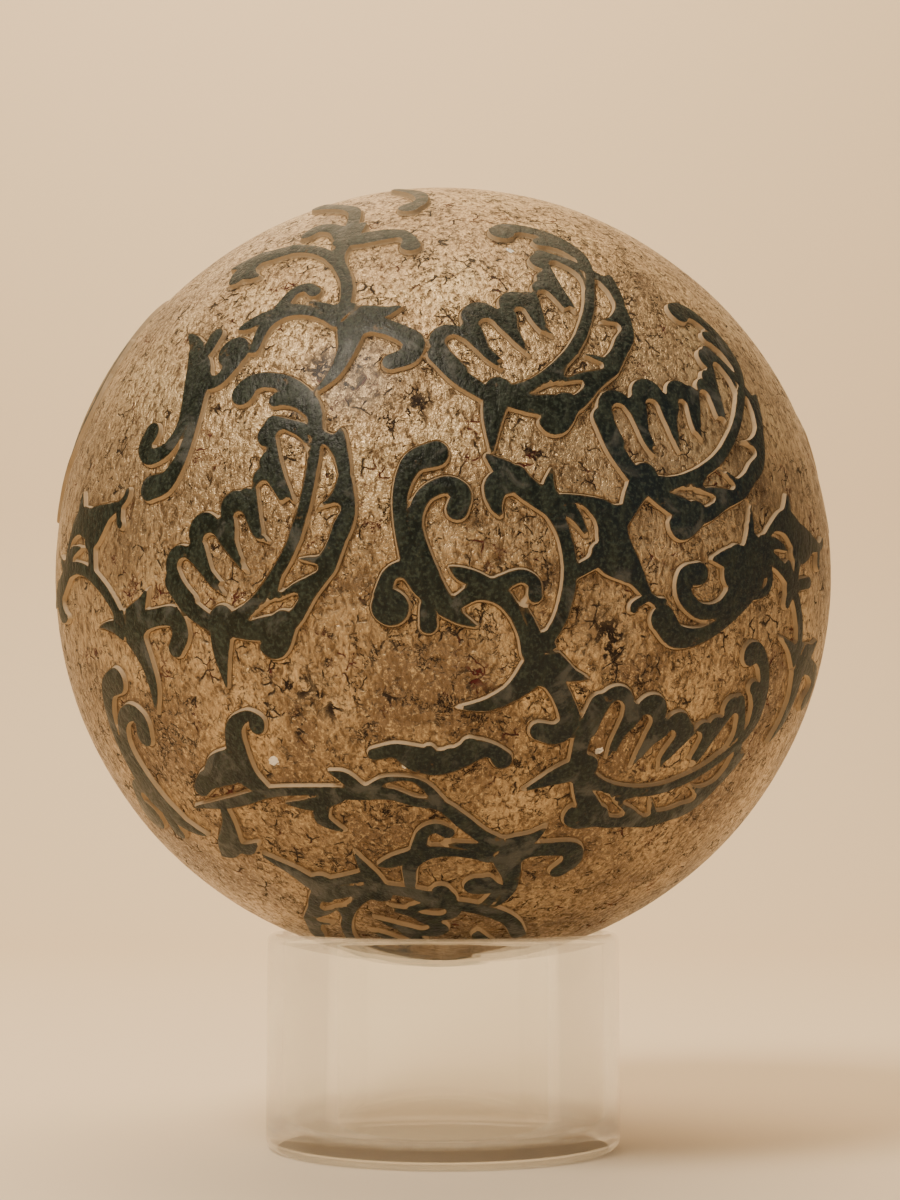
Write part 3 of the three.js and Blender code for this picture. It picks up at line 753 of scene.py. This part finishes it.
def crown() -> list[Stroke]:
    """Returns the fork and the broad worn head at the end of the middle stem."""
    return [
        add((9.5, 14.8, 0.2), (9.0, 12.0, 0.9), (10.2, 9.0, 1.3)),
        add((9.6, 10.2, 1.1), (12.4, 8.8, 0.9), (14.3, 5.8, 0.2)),
        add((12.2, 0.6, 0.9), (14.6, 1.8, 0.9), (16.6, 3.2, 1.2)),
        add(
            (10.6, 10.8, 0.6), (13.8, 10.6, 0.7), (16.6, 9.2, 1.6), (17.9, 7.4, 2.1), (18.4, 4.8, 2.3),
            (20.2, 2.2, 1.9), (22.3, -0.6, 1.1), (23.6, -2.4, 0.7),
        ),
        add((17.4, 8.6, 1.4), (19.2, 9.2, 1.0), (21.2, 10.4, 0.3)),
        add((16.2, 3.6, 1.3), (17.2, 1.6, 1.0), (20.6, 0.4, 1.1)),
        add((22.4, -1.0, 0.8), (23.4, -2.4, 0.6), (21.6, -3.6, 0.6), (21.3, -4.2, 0.6)),
        add((23.4, -2.2, 0.6), (25.0, -3.2, 0.6), (26.2, -3.2, 0.5)),
    ]


def finial() -> list[Stroke]:
    """Returns the head of the upper stem: a hook to the left, a shoot upwards and a bulb to the right."""
    return [
        add((-1.6, -12.0, 0.9), (-3.2, -8.4, 0.95), (-3.6, -5.6, 1.0), (-3.4, -3.0, 1.3)),
        add(
            (-4.0, -2.6, 1.4), (-0.6, -2.4, 1.7), (2.6, -1.7, 1.5), (4.8, -1.6, 1.1), (6.2, -3.0, 1.0),
            (6.7, -4.7, 1.5),
        ),
        add((-3.8, -1.8, 1.4), (-6.0, 1.8, 1.2), (-8.8, 3.2, 1.3), (-10.4, 1.8, 1.1)),
        add((-2.6, -1.2, 1.2), (-1.9, 2.2, 0.7)),
        add((-3.6, -1.0, 1.2), (-3.6, 3.6, 1.0), (-4.6, 8.2, 1.0), (-7.4, 11.4, 0.9), (-12.2, 15.4, 1.3)),
        add(
            (-3.0, -9.0, 0.9), (-6.6, -4.9, 0.8), (-12.0, -2.0, 0.9), (-18.2, -1.9, 1.2),
            (-20.4, -3.6, 1.2), (-20.4, -5.6, 1.4),
        ),
        add((3.9, 7.8, 1.6), (5.2, 11.0, 1.0), (3.6, 15.4, 1.1), (-1.0, 20.0, 0.6)),
    ]


def worn_head() -> list[Stroke]:
    """Returns the rubbed, lobed head over the lower stem, with its bulb."""
    return [
        add(
            (-8.4, 6.6, 0.9), (-5.5, 7.3, 1.1), (-2.6, 6.2, 1.9), (0.2, 5.6, 1.9), (3.0, 6.3, 1.7),
            (5.2, 7.4, 1.6), (7.6, 7.2, 1.0), (9.0, 5.7, 1.4),
        ),
        add((-0.9, 7.4, 0.9), (-0.8, 6.8, 1.0)),
        add((2.0, 7.0, 0.9), (2.1, 6.6, 1.0)),
        add((4.6, 8.2, 1.1), (4.8, 7.8, 1.1)),
        add((-14.8, 3.1, 0.2), (-12.7, 2.5, 0.9), (-10.8, 0.8, 1.1)),
        add(
            (-13.2, -0.4, 0.8), (-10.0, 0.3, 1.2), (-6.4, 0.5, 1.0), (-3.0, -0.6, 0.8), (0.6, -1.3, 0.9),
            (3.4, -3.9, 1.1), (6.0, -6.7, 1.1), (8.4, -8.8, 1.3),
        ),
        add((-8.6, 1.2, 0.9), (-6.9, 2.7, 0.5), (-3.6, 3.0, 0.35), (-1.6, 2.0, 0.6), (0.4, -0.6, 0.8)),
    ]


def low_curl() -> list[Stroke]:
    """Returns the spiral just over the rim of the cup."""
    return [
        add(
            (1.0, -0.8, 0.8), (4.0, 0.1, 1.0), (8.0, -0.9, 1.2), (12.2, -4.0, 1.3), (14.5, -8.0, 1.2),
            (15.0, -13.0, 1.2),
        ),
        add((10.8, 3.6, 1.9), (11.6, 3.4, 1.9)),
        add((12.4, 4.6, 0.8), (13.4, 1.8, 0.7), (11.4, -1.4, 0.8)),
        add((5.6, 3.4, 1.3), (6.6, 1.2, 1.0), (5.0, -0.2, 0.8)),
        add((9.4, -9.0, 0.2), (9.2, -11.0, 1.0), (10.4, -14.0, 0.8)),
    ]


def side_shoots() -> list[Stroke]:
    """Returns the right crescent's pointed end and the small buds beyond it."""
    return [
        add((4.6, -4.0, 1.2), (7.4, -0.6, 1.3), (9.3, 4.0, 1.1), (10.2, 8.2, 0.6), (10.3, 11.8, 0.1)),
        add((8.5, -0.8, 0.8), (11.5, -1.4, 0.7), (14.3, -0.4, 0.7), (14.8, 1.6, 0.8), (13.6, 2.6, 1.2)),
        add((9.6, 3.2, 0.8), (11.8, 4.8, 0.9), (13.2, 6.8, 0.7)),
        add((19.8, 3.4, 0.9), (20.9, 0.2, 1.2), (20.2, -2.2, 0.7)),
        add((20.6, 0.2, 1.1), (24.0, 0.9, 0.9), (27.0, 1.4, 0.9)),
    ]


def palm() -> list[Stroke]:
    """Returns the lobed palm with a hooked top."""
    return [
        add(
            (-3.0, 9.2, 1.2), (-2.9, 10.0, 1.1), (-4.4, 10.8, 0.8), (-6.8, 9.0, 1.3), (-7.3, 5.6, 1.7),
            (-7.0, 1.6, 1.9), (-4.6, -0.6, 0.8),
        ),
        add((-8.0, 4.6, 1.3), (-11.4, 3.0, 1.6), (-13.2, 0.6, 1.5)),
        add((-9.6, 2.0, 2.0), (-14.0, 0.2, 1.6), (-16.2, -1.8, 1.2)),
    ]


def trail() -> list[Stroke]:
    """Returns a thin stem with small side leaves."""
    return [
        add(
            (-19.0, -5.4, 0.2), (-11.0, -3.4, 0.9), (-4.0, -1.3, 0.8), (3.0, -1.0, 0.7), (9.0, -1.8, 1.0),
            (11.0, -2.4, 0.8),
        ),
        add((-1.8, -3.0, 0.2), (2.6, -3.2, 1.1), (6.6, -2.2, 0.9)),
        add((4.0, -3.4, 0.9), (3.0, -5.8, 1.1), (5.6, -8.2, 0.2)),
        add((-13.0, -4.6, 0.6), (-13.4, -8.0, 1.2), (-15.4, -12.4, 2.0), (-18.2, -15.2, 0.2)),
        add((-14.6, -12.0, 1.2), (-12.0, -12.4, 1.1), (-9.4, -10.8, 0.2)),
        add(
            (-9.6, -13.2, 0.3), (-5.6, -16.2, 1.1), (-2.6, -19.4, 1.6), (1.0, -18.2, 0.9),
            (5.4, -17.2, 1.0),
        ),
    ]


class Motif(Enum):
    """The ornament's repeating motifs."""

    LEAF = "leaf"
    PLAIN = "plain"
    SPRAY = "spray"
    SCROLL = "scroll"
    CRESCENTS = "crescents"
    BOUGH = "bough"
    STEM = "stem"
    FORK = "fork"
    FINIAL = "finial"
    WORN_HEAD = "worn_head"
    LOW_CURL = "low_curl"
    SIDE_SHOOTS = "side_shoots"
    FROND = "frond"

    def strokes(self) -> list[Stroke]:
        """Returns the motif's strokes in its own flat frame."""
        makers: dict[Motif, Callable[[], list[Stroke]]] = {
            Motif.LEAF: Leaf().strokes,
            Motif.PLAIN: Leaf(carved=False).strokes,
            Motif.SPRAY: lambda: star() + stem() + crown() + sprig() + crescents() + buds(),
            Motif.SCROLL: lambda: crescents() + buds(),
            Motif.CRESCENTS: crescents,
            Motif.BOUGH: lambda: star() + stem() + crown(),
            Motif.STEM: stem,
            Motif.FORK: lambda: star() + sprig(),
            Motif.FINIAL: finial,
            Motif.WORN_HEAD: worn_head,
            Motif.LOW_CURL: low_curl,
            Motif.SIDE_SHOOTS: side_shoots,
            Motif.FROND: lambda: palm() + trail(),
        }
        return makers[self]()


@dataclass(frozen=True)
class Spot:
    """Where a motif sits: azimuth from the front, elevation and roll in degrees, and scale."""

    motif: Motif
    azimuth: float
    elevation: float
    roll: float
    scale: float = 1.0


LAYOUT = (
    Spot(Motif.LEAF, -23.9, -0.4, -27),
    Spot(Motif.LEAF, 14.1, 27.6, -32),
    Spot(Motif.LEAF, 36.1, 14.6, -50),
    Spot(Motif.LEAF, 35.6, -29.4, -77, 0.96),
    Spot(Motif.LEAF, -18.9, -65.4, 165, 0.95),
    Spot(Motif.SPRAY, 5.1, -7.4, 0),
    Spot(Motif.STEM, -27.9, 31.6, 46),
    Spot(Motif.FORK, -27.5, 30.2, 46.2),
    Spot(Motif.FINIAL, -13.9, 46.6, 0),
    Spot(Motif.FORK, -7.1, -45.6, 48.2),
    Spot(Motif.WORN_HEAD, -0.9, -36.4, 0),
    Spot(Motif.LOW_CURL, -8.9, -56.4, 0),
    Spot(Motif.BOUGH, -59.6, -14.1, 62.9),
    Spot(Motif.SCROLL, -44.7, 22.9, 169.5, 1.05),
    Spot(Motif.CRESCENTS, 41.2, 1.6, 118.2, 1.08),
    Spot(Motif.SIDE_SHOOTS, 35.1, -6.4, 0),
    Spot(Motif.SCROLL, -46.6, -35.7, -2.1, 1.1),
    Spot(Motif.FROND, -23.9, -34.4, 0),
    Spot(Motif.BOUGH, 48.1, -14.3, 48),
    Spot(Motif.LEAF, -82.9, 24.0, -35),
    Spot(Motif.LEAF, 99.1, 22.1, -50),
    Spot(Motif.BOUGH, -158.9, -19.6, 0),
    Spot(Motif.SCROLL, -158.9, -19.6, 0),
    Spot(Motif.LEAF, 156.1, 6.4, -30),
    Spot(Motif.LEAF, -110.9, -17.8, -60),
    Spot(Motif.LEAF, -158.9, 50.4, -20),
)


@dataclass
class Ornament:
    """Distance from any point of the ball to the edge of the painted ornament, with sizes in mm."""

    radius_mm: float
    spots: Sequence[Spot] = LAYOUT
    far_mm: float = 6.0
    motif_reach_mm: float = 36.0
    stroke_margin_mm: float = 3.0

    def edge(self, out: np.ndarray) -> np.ndarray:
        """Measures how far each direction is outside the ornament.

        Args:
            out: Rows of unit directions from the ball's middle.

        Returns:
            Distance in mm along the ball, negative inside the ornament, capped at far_mm.
        """
        best = np.full(len(out), self.far_mm)
        for spot in self.spots:
            best = np.minimum(best, self.spot_edge(spot, out))
        return best

    def stroke_edge(self, stroke: Stroke, x: np.ndarray, y: np.ndarray) -> tuple[np.ndarray, np.ndarray]:
        """Measures the distance to one stroke in its motif's flat frame.

        Args:
            stroke: The stroke.
            x: Places along the frame's first axis.
            y: Places along its second axis.

        Returns:
            Numbers of the places near the stroke, and their distances outside it.
        """
        spine = stroke.spine()
        reach = spine[:, 2].max() + self.stroke_margin_mm
        low, high = spine[:, :2].min(0) - reach, spine[:, :2].max(0) + reach
        inside = np.flatnonzero((x > low[0]) & (x < high[0]) & (y > low[1]) & (y < high[1]))
        px, py = x[inside], y[inside]
        gap = np.full(len(inside), self.far_mm)
        for (ax, ay, aw), (bx, by, bw) in zip(spine, spine[1:]):
            ex, ey = bx - ax, by - ay
            t = np.clip(((px - ax) * ex + (py - ay) * ey) / (ex * ex + ey * ey + 1e-9), 0, 1)
            gap = np.minimum(gap, np.hypot(px - ax - t * ex, py - ay - t * ey) - (aw + t * (bw - aw)))
        return inside, gap

    def spot_edge(self, spot: Spot, out: np.ndarray) -> np.ndarray:
        """Measures the distance to one placed motif.

        Args:
            spot: The placed motif.
            out: Rows of unit directions.

        Returns:
            Distance in mm, as edge gives it.
        """
        a, e, r = (math.radians(v) for v in (spot.azimuth, spot.elevation, spot.roll))
        normal = np.array([math.cos(e) * math.sin(a), -math.cos(e) * math.cos(a), math.sin(e)])
        east = np.array([math.cos(a), math.sin(a), 0.0])
        u = math.cos(r) * east + math.sin(r) * np.cross(normal, east)
        v = np.cross(normal, u)
        arc = np.arccos(np.clip(out @ normal, -1, 1)) * self.radius_mm
        result = np.full(len(out), self.far_mm)
        near = np.flatnonzero(arc < self.motif_reach_mm * spot.scale + 2)
        # The motif is rolled onto the ball: a place keeps its direction and its distance along the surface
        x, y = out[near] @ u, out[near] @ v
        stretch = arc[near] / (np.hypot(x, y) + 1e-12) / spot.scale
        x, y = x * stretch, y * stretch
        depth = np.full(len(near), self.far_mm)
        for stroke in spot.motif.strokes():
            inside, gap = self.stroke_edge(stroke, x, y)
            if stroke.kind is Kind.ADD:
                depth[inside] = np.minimum(depth[inside], gap)
            else:
                depth[inside] = np.maximum(depth[inside], -gap)
        result[near] = depth * spot.scale
        return result


# ---------------------------------------------------------------- the ball


@dataclass
class Skin:
    """A triangle mesh on the unit sphere, with each point's distance outside the ornament in mm."""

    points: np.ndarray
    faces: np.ndarray
    edge: np.ndarray

    def sides(self) -> tuple[np.ndarray, np.ndarray]:
        """Lists the mesh's edges.

        Returns:
            Rows of two point numbers, lower first, and each face's three edge numbers.
        """
        pairs = np.stack([self.faces, np.roll(self.faces, -1, axis=1)], axis=2).reshape(-1, 2)
        pairs = np.sort(pairs, axis=1)
        count = len(self.points)
        keys, number = np.unique(pairs[:, 0] * count + pairs[:, 1], return_inverse=True)
        return np.stack([keys // count, keys % count], axis=1), number.reshape(-1, 3)

    def split(
        self, ends: np.ndarray, number: np.ndarray, marked: np.ndarray, share: np.ndarray
    ) -> np.ndarray:
        """Splits marked edges and the faces beside them.

        Args:
            ends: Edge rows, as sides gives them.
            number: Each face's edges, as sides gives them.
            marked: Which edges to split.
            share: Where along each marked edge, from its first end.

        Returns:
            The new points' directions.
        """
        start = len(self.points)
        a, b = ends[marked, 0], ends[marked, 1]
        fresh = self.points[a] * (1 - share[:, None]) + self.points[b] * share[:, None]
        fresh /= np.linalg.norm(fresh, axis=1, keepdims=True)
        made = np.full(len(ends), -1)
        made[marked] = start + np.arange(len(a))
        self.points = np.vstack([self.points, fresh])
        middle = made[number]
        bits = np.array([1, 2, 4])
        code = (middle >= 0) @ bits
        kept = [self.faces[code == 0]]
        # Faces with one or two split edges, each turned until its first edge is a split one
        for turn in range(3):
            corner, mid = np.roll(self.faces, -turn, axis=1), np.roll(middle, -turn, axis=1)
            which = (mid >= 0) @ bits
            one, two = which == 1, which == 3
            if one.any():
                (p, q, r), m = corner[one].T, mid[one][:, 0]
                kept += [np.stack([p, m, r], 1), np.stack([m, q, r], 1)]
            if two.any():
                (p, q, r), (m, n) = corner[two].T, mid[two][:, :2].T
                kept += [np.stack([m, q, n], 1), np.stack([p, m, n], 1), np.stack([p, n, r], 1)]
        full = code == 7
        (p, q, r), (m, n, o) = self.faces[full].T, middle[full].T
        kept += [np.stack(trio, 1) for trio in ([p, m, o], [m, q, n], [o, n, r], [m, n, o])]
        self.faces = np.vstack(kept)
        return fresh


@dataclass
class CarvedBall:
    """The moulded ball with its raised ornament: heights in metres, and distances along it in mm."""

    radius: float = 62.3 * MM
    relief: float = 0.65 * MM
    crown: float = 0.10 * MM
    crown_spread_mm: float = 0.9
    shoulder_mm: float = 0.24
    shoulder_bend: float = 1.2
    groove: float = 0.07 * MM
    groove_mm: float = 0.35
    unevenness: float = 0.06 * MM
    first_level: int = 6
    fine_mm: float = 0.85
    fine_beyond_mm: float = 0.4
    snap_mm: float = 0.04
    name: str = "gilded_ball"

    def centre(self) -> Vector:
        """Returns the ball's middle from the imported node's box."""
        return Vector((0.0, 0.0, float(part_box("carved_ball")[1][2]) - self.radius))

    def skin(self, ornament: Ornament) -> Skin:
        """Makes the sphere mesh, fine beside the ornament and cut exactly along its edges.

        Args:
            ornament: The ornament's distance measure.

        Returns:
            The finished skin, with its distances.
        """
        bpy.ops.object.select_all(action="DESELECT")
        bpy.ops.mesh.primitive_ico_sphere_add(subdivisions=self.first_level, radius=1.0)
        start = bpy.context.object
        points = np.array([v.co[:] for v in start.data.vertices])
        points /= np.linalg.norm(points, axis=1, keepdims=True)
        faces = np.array([p.vertices[:] for p in start.data.polygons])
        bpy.data.objects.remove(start)
        skin = Skin(points, faces, ornament.edge(points))
        while True:
            ends, number = skin.sides()
            length = np.linalg.norm(skin.points[ends[:, 0]] - skin.points[ends[:, 1]], axis=1)
            length = length * ornament.radius_mm
            pair = skin.edge[ends]
            close = (np.abs(pair).min(1) < length * 0.7) | (pair[:, 0] * pair[:, 1] < 0)
            close &= pair.min(1) < length + self.fine_beyond_mm
            marked = np.flatnonzero((length > self.fine_mm) & close)
            if not len(marked):
                break
            fresh = skin.split(ends, number, marked, np.full(len(marked), 0.5))
            skin.edge = np.concatenate([skin.edge, ornament.edge(fresh)])
        # The foot and the top of the ornament's side become edges of the mesh
        for level in (self.shoulder_mm, 0.0):
            skin.edge[np.abs(skin.edge - level) < self.snap_mm] = level
            ends, number = skin.sides()
            a, b = skin.edge[ends[:, 0]] - level, skin.edge[ends[:, 1]] - level
            marked = np.flatnonzero(a * b < 0)
            skin.split(ends, number, marked, a[marked] / (a[marked] - b[marked]))
            skin.edge = np.concatenate([skin.edge, np.full(len(marked), level)])
        return skin

    def height(self, edge: np.ndarray) -> np.ndarray:
        """Gives the height over the ground for a distance from the ornament.

        Args:
            edge: Distances in mm, negative inside the ornament.

        Returns:
            Heights in metres.
        """
        rise = self.relief - self.crown
        top = rise + self.crown * (1 - np.exp(np.minimum(edge, 0) / self.crown_spread_mm))
        side = rise * (1 - np.clip(edge / self.shoulder_mm, 0, 1)) ** self.shoulder_bend
        dip = -self.groove * np.exp(-(((edge - self.shoulder_mm) / self.groove_mm) ** 2))
        return np.where(edge <= 0, top, side) + np.where(edge > 0, dip, 0)

    def uneven(self, out: np.ndarray) -> np.ndarray:
        """Gives the ground's slight hand-made unevenness from a few fixed waves.

        Args:
            out: Rows of unit directions from the ball's middle.

        Returns:
            Heights in metres.
        """
        total = np.zeros(len(out))
        for i, wave in enumerate((5.0, 8.0, 13.0, 21.0, 34.0)):
            aim = np.array([math.sin(2.3 * i + 1), math.cos(1.7 * i), math.sin(0.9 * i + 2)])
            side = np.cross(aim, (0.3, -0.5, 0.8))
            total += np.sin(out @ aim * wave + 1.3 * i) * np.sin(out @ side * wave * 1.3 + i) / (1 + i)
        return self.unevenness * total

    def build(self, materials: Sequence[bpy.types.Material]) -> bpy.types.Object:
        """Makes the ball's mesh and gives it its finishes.

        Args:
            materials: Gold leaf first, then the ornament's enamel.

        Returns:
            The ball object.
        """
        skin = self.skin(Ornament(self.radius / MM))
        reach = self.radius + self.height(skin.edge) + self.uneven(skin.points)
        reach = np.minimum(reach, self.radius + self.relief)
        ball = empty_piece(self.name)
        mesh = ball.data
        points = skin.points * reach[:, None] + np.array(self.centre())
        mesh.from_pydata(points.tolist(), [], skin.faces.tolist())
        for material in materials:
            mesh.materials.append(material)
        painted = (skin.edge[skin.faces].mean(1) < 0).astype(np.int32)
        mesh.polygons.foreach_set("material_index", painted)
        distance = mesh.attributes.new("edge_mm", "FLOAT", "POINT")
        distance.data.foreach_set("value", np.clip(skin.edge, -4, 6).astype(np.float32))
        bpy.ops.object.mode_set(mode="EDIT")
        bpy.ops.mesh.select_all(action="SELECT")
        bpy.ops.mesh.normals_make_consistent(inside=False)
        bpy.ops.object.mode_set(mode="OBJECT")
        bpy.ops.object.shade_smooth_by_angle(angle=math.radians(38))
        log.info("%s: %d triangles", self.name, len(mesh.polygons))
        return ball


# ---------------------------------------------------------------- the glass cup


@dataclass
class GlassCup:
    """A short straight glass cup with a fire-polished rim and a rounded foot."""

    radius: float = 28.0 * MM
    wall: float = 2.4 * MM
    floor: float = 2.6 * MM
    foot_round: float = 1.8 * MM
    well_round: float = 3.5 * MM
    turns: int = 128
    name: str = "clear_glass_cup"

    def profile(self, height: float) -> list[Vector]:
        """Draws half the cup's section, from the middle of its underside to the middle of its floor.

        Args:
            height: The cup's height in metres.

        Returns:
            Points in the XZ plane.
        """

        def arc(x: float, z: float, r: float, start: float, stop: float, count: int) -> list[Vector]:
            """Returns points of an arc between two angles in degrees."""
            angles = [math.radians(start + (stop - start) * i / count) for i in range(count + 1)]
            return [Vector((x + r * math.cos(a), 0, z + r * math.sin(a))) for a in angles]

        rim, bore = self.wall / 2, self.radius - self.wall
        return [
            Vector((0, 0, 0)),
            *arc(self.radius - self.foot_round, self.foot_round, self.foot_round, -90, 0, 8),
            *arc(self.radius - rim, height - rim, rim, 0, 180, 14),
            *arc(bore - self.well_round, self.floor + self.well_round, self.well_round, 0, -90, 10),
            Vector((0, 0, self.floor)),
        ]

    def build(self, material: bpy.types.Material) -> bpy.types.Object:
        """Spins the section into the cup.

        Args:
            material: The glass.

        Returns:
            The cup object.
        """
        points = self.profile(float(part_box("glass_cup")[1][2]))
        cup = empty_piece(self.name)
        cup.data.from_pydata([p[:] for p in points], [(i, i + 1) for i in range(len(points) - 1)], [])
        bpy.ops.object.mode_set(mode="EDIT")
        bpy.ops.mesh.select_all(action="SELECT")
        bpy.ops.mesh.spin(steps=self.turns, angle=math.tau, center=(0, 0, 0), axis=(0, 0, 1), dupli=False)
        bpy.ops.mesh.select_all(action="SELECT")
        bpy.ops.mesh.remove_doubles(threshold=1e-6)
        bpy.ops.mesh.normals_make_consistent(inside=False)
        bpy.ops.object.mode_set(mode="OBJECT")
        bpy.ops.object.shade_smooth_by_angle(angle=math.radians(40))
        cup.data.materials.append(material)
        log.info("%s: %d faces", self.name, len(cup.data.polygons))
        return cup


# ---------------------------------------------------------------- the studio


@dataclass(frozen=True)
class Lamp:
    """One soft square light: place, target and side in metres, power in watts and colour in hex."""

    name: str
    place: Triple
    target: Triple
    size: float
    power: float
    colour: str

    def build(self) -> None:
        """Adds the light to the scene."""
        data = bpy.data.lights.new(self.name, "AREA")
        data.size, data.energy, data.color = self.size, self.power, linear(self.colour)[:3]
        lamp = bpy.data.objects.new(self.name, data)
        lamp.location = self.place
        aim = Vector(self.target) - Vector(self.place)
        lamp.rotation_euler = aim.to_track_quat("-Z", "Y").to_euler()
        bpy.context.collection.objects.link(lamp)


@dataclass
class Studio:
    """Plain pale table and wall, soft lights and the camera, in metres, with the pitch in degrees."""

    camera_place: Triple = (0.00109, -0.3423, 0.04665)
    camera_pitch: float = 6.72
    camera_lens: float = 84.55
    front: float = -1.6
    back: float = 0.9
    top: float = 2.4
    half_width: float = 2.2
    bend: float = 0.25
    air: str = "#efe6d8"
    air_strength: float = 0.26
    lamps: tuple[Lamp, ...] = (
        Lamp("key", (-0.42, -0.60, 0.90), (0, 0, 0.09), 0.35, 12.5, "#fff0da"),
        Lamp("fill", (0.9, -0.5, 0.35), (0, 0, 0.08), 0.7, 0.8, "#e4ecf2"),
        Lamp("back", (-0.3, 0.6, 0.9), (0, 0, 0.1), 0.6, 1.6, "#ffe9c8"),
        Lamp("wall_wash", (0.0, 0.25, 1.2), (0.0, 0.9, 0.30), 0.9, 14.0, "#ffe0b4"),
    )

    def camera(self) -> None:
        """Sets up the camera."""
        data = bpy.data.cameras.new("camera")
        data.sensor_fit = "HORIZONTAL"
        data.sensor_width = 36.0
        data.lens = self.camera_lens
        data.clip_start, data.clip_end = 0.01, 20.0
        camera = bpy.data.objects.new("camera", data)
        camera.location = self.camera_place
        camera.rotation_euler = (math.radians(90 + self.camera_pitch), 0, 0)
        bpy.context.collection.objects.link(camera)
        bpy.context.scene.camera = camera

    def sweep(self) -> None:
        """Makes the floor and the wall as one curved sheet."""
        sheet = empty_piece("studio_sweep")
        turns = [math.radians(a) for a in range(10, 91, 10)]
        foot = self.back - self.bend
        line = [(self.front, 0.0), (foot, 0.0)]
        line += [(foot + self.bend * math.sin(a), self.bend - self.bend * math.cos(a)) for a in turns]
        line += [(self.back, self.top)]
        points = [(x, y, z) for x in (-self.half_width, self.half_width) for y, z in line]
        count = len(line)
        sheet.data.from_pydata(points, [], [(i, i + count, i + count + 1, i + 1) for i in range(count - 1)])
        bpy.ops.object.shade_smooth()
        sheet.data.materials.append(PlainPaint("#f2dfc2").build("studio_paint"))

    def build(self) -> None:
        """Builds the whole studio."""
        self.camera()
        self.sweep()
        for lamp in self.lamps:
            lamp.build()
        world = bpy.data.worlds.new("studio_air")
        world.use_nodes = True
        feed(world.node_tree.nodes["Background"], {"Color": self.air, "Strength": self.air_strength})
        bpy.context.scene.world = world


def main() -> None:
    """Builds the ball, the cup and the studio in order."""
    logging.basicConfig(level=logging.INFO, format="%(name)s %(message)s")
    Studio().build()
    carved = CarvedBall()
    globe = Globe(carved.centre(), carved.radius)
    ball = carved.build((CrackledLeaf(globe).build(), WornEnamel(globe).build()))
    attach(ball, "root")
    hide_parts("carved_ball")
    cup = GlassCup().build(ClearGlass().build())
    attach(cup, "root")
    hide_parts("glass_cup")


if __name__ == "__main__":
    main()
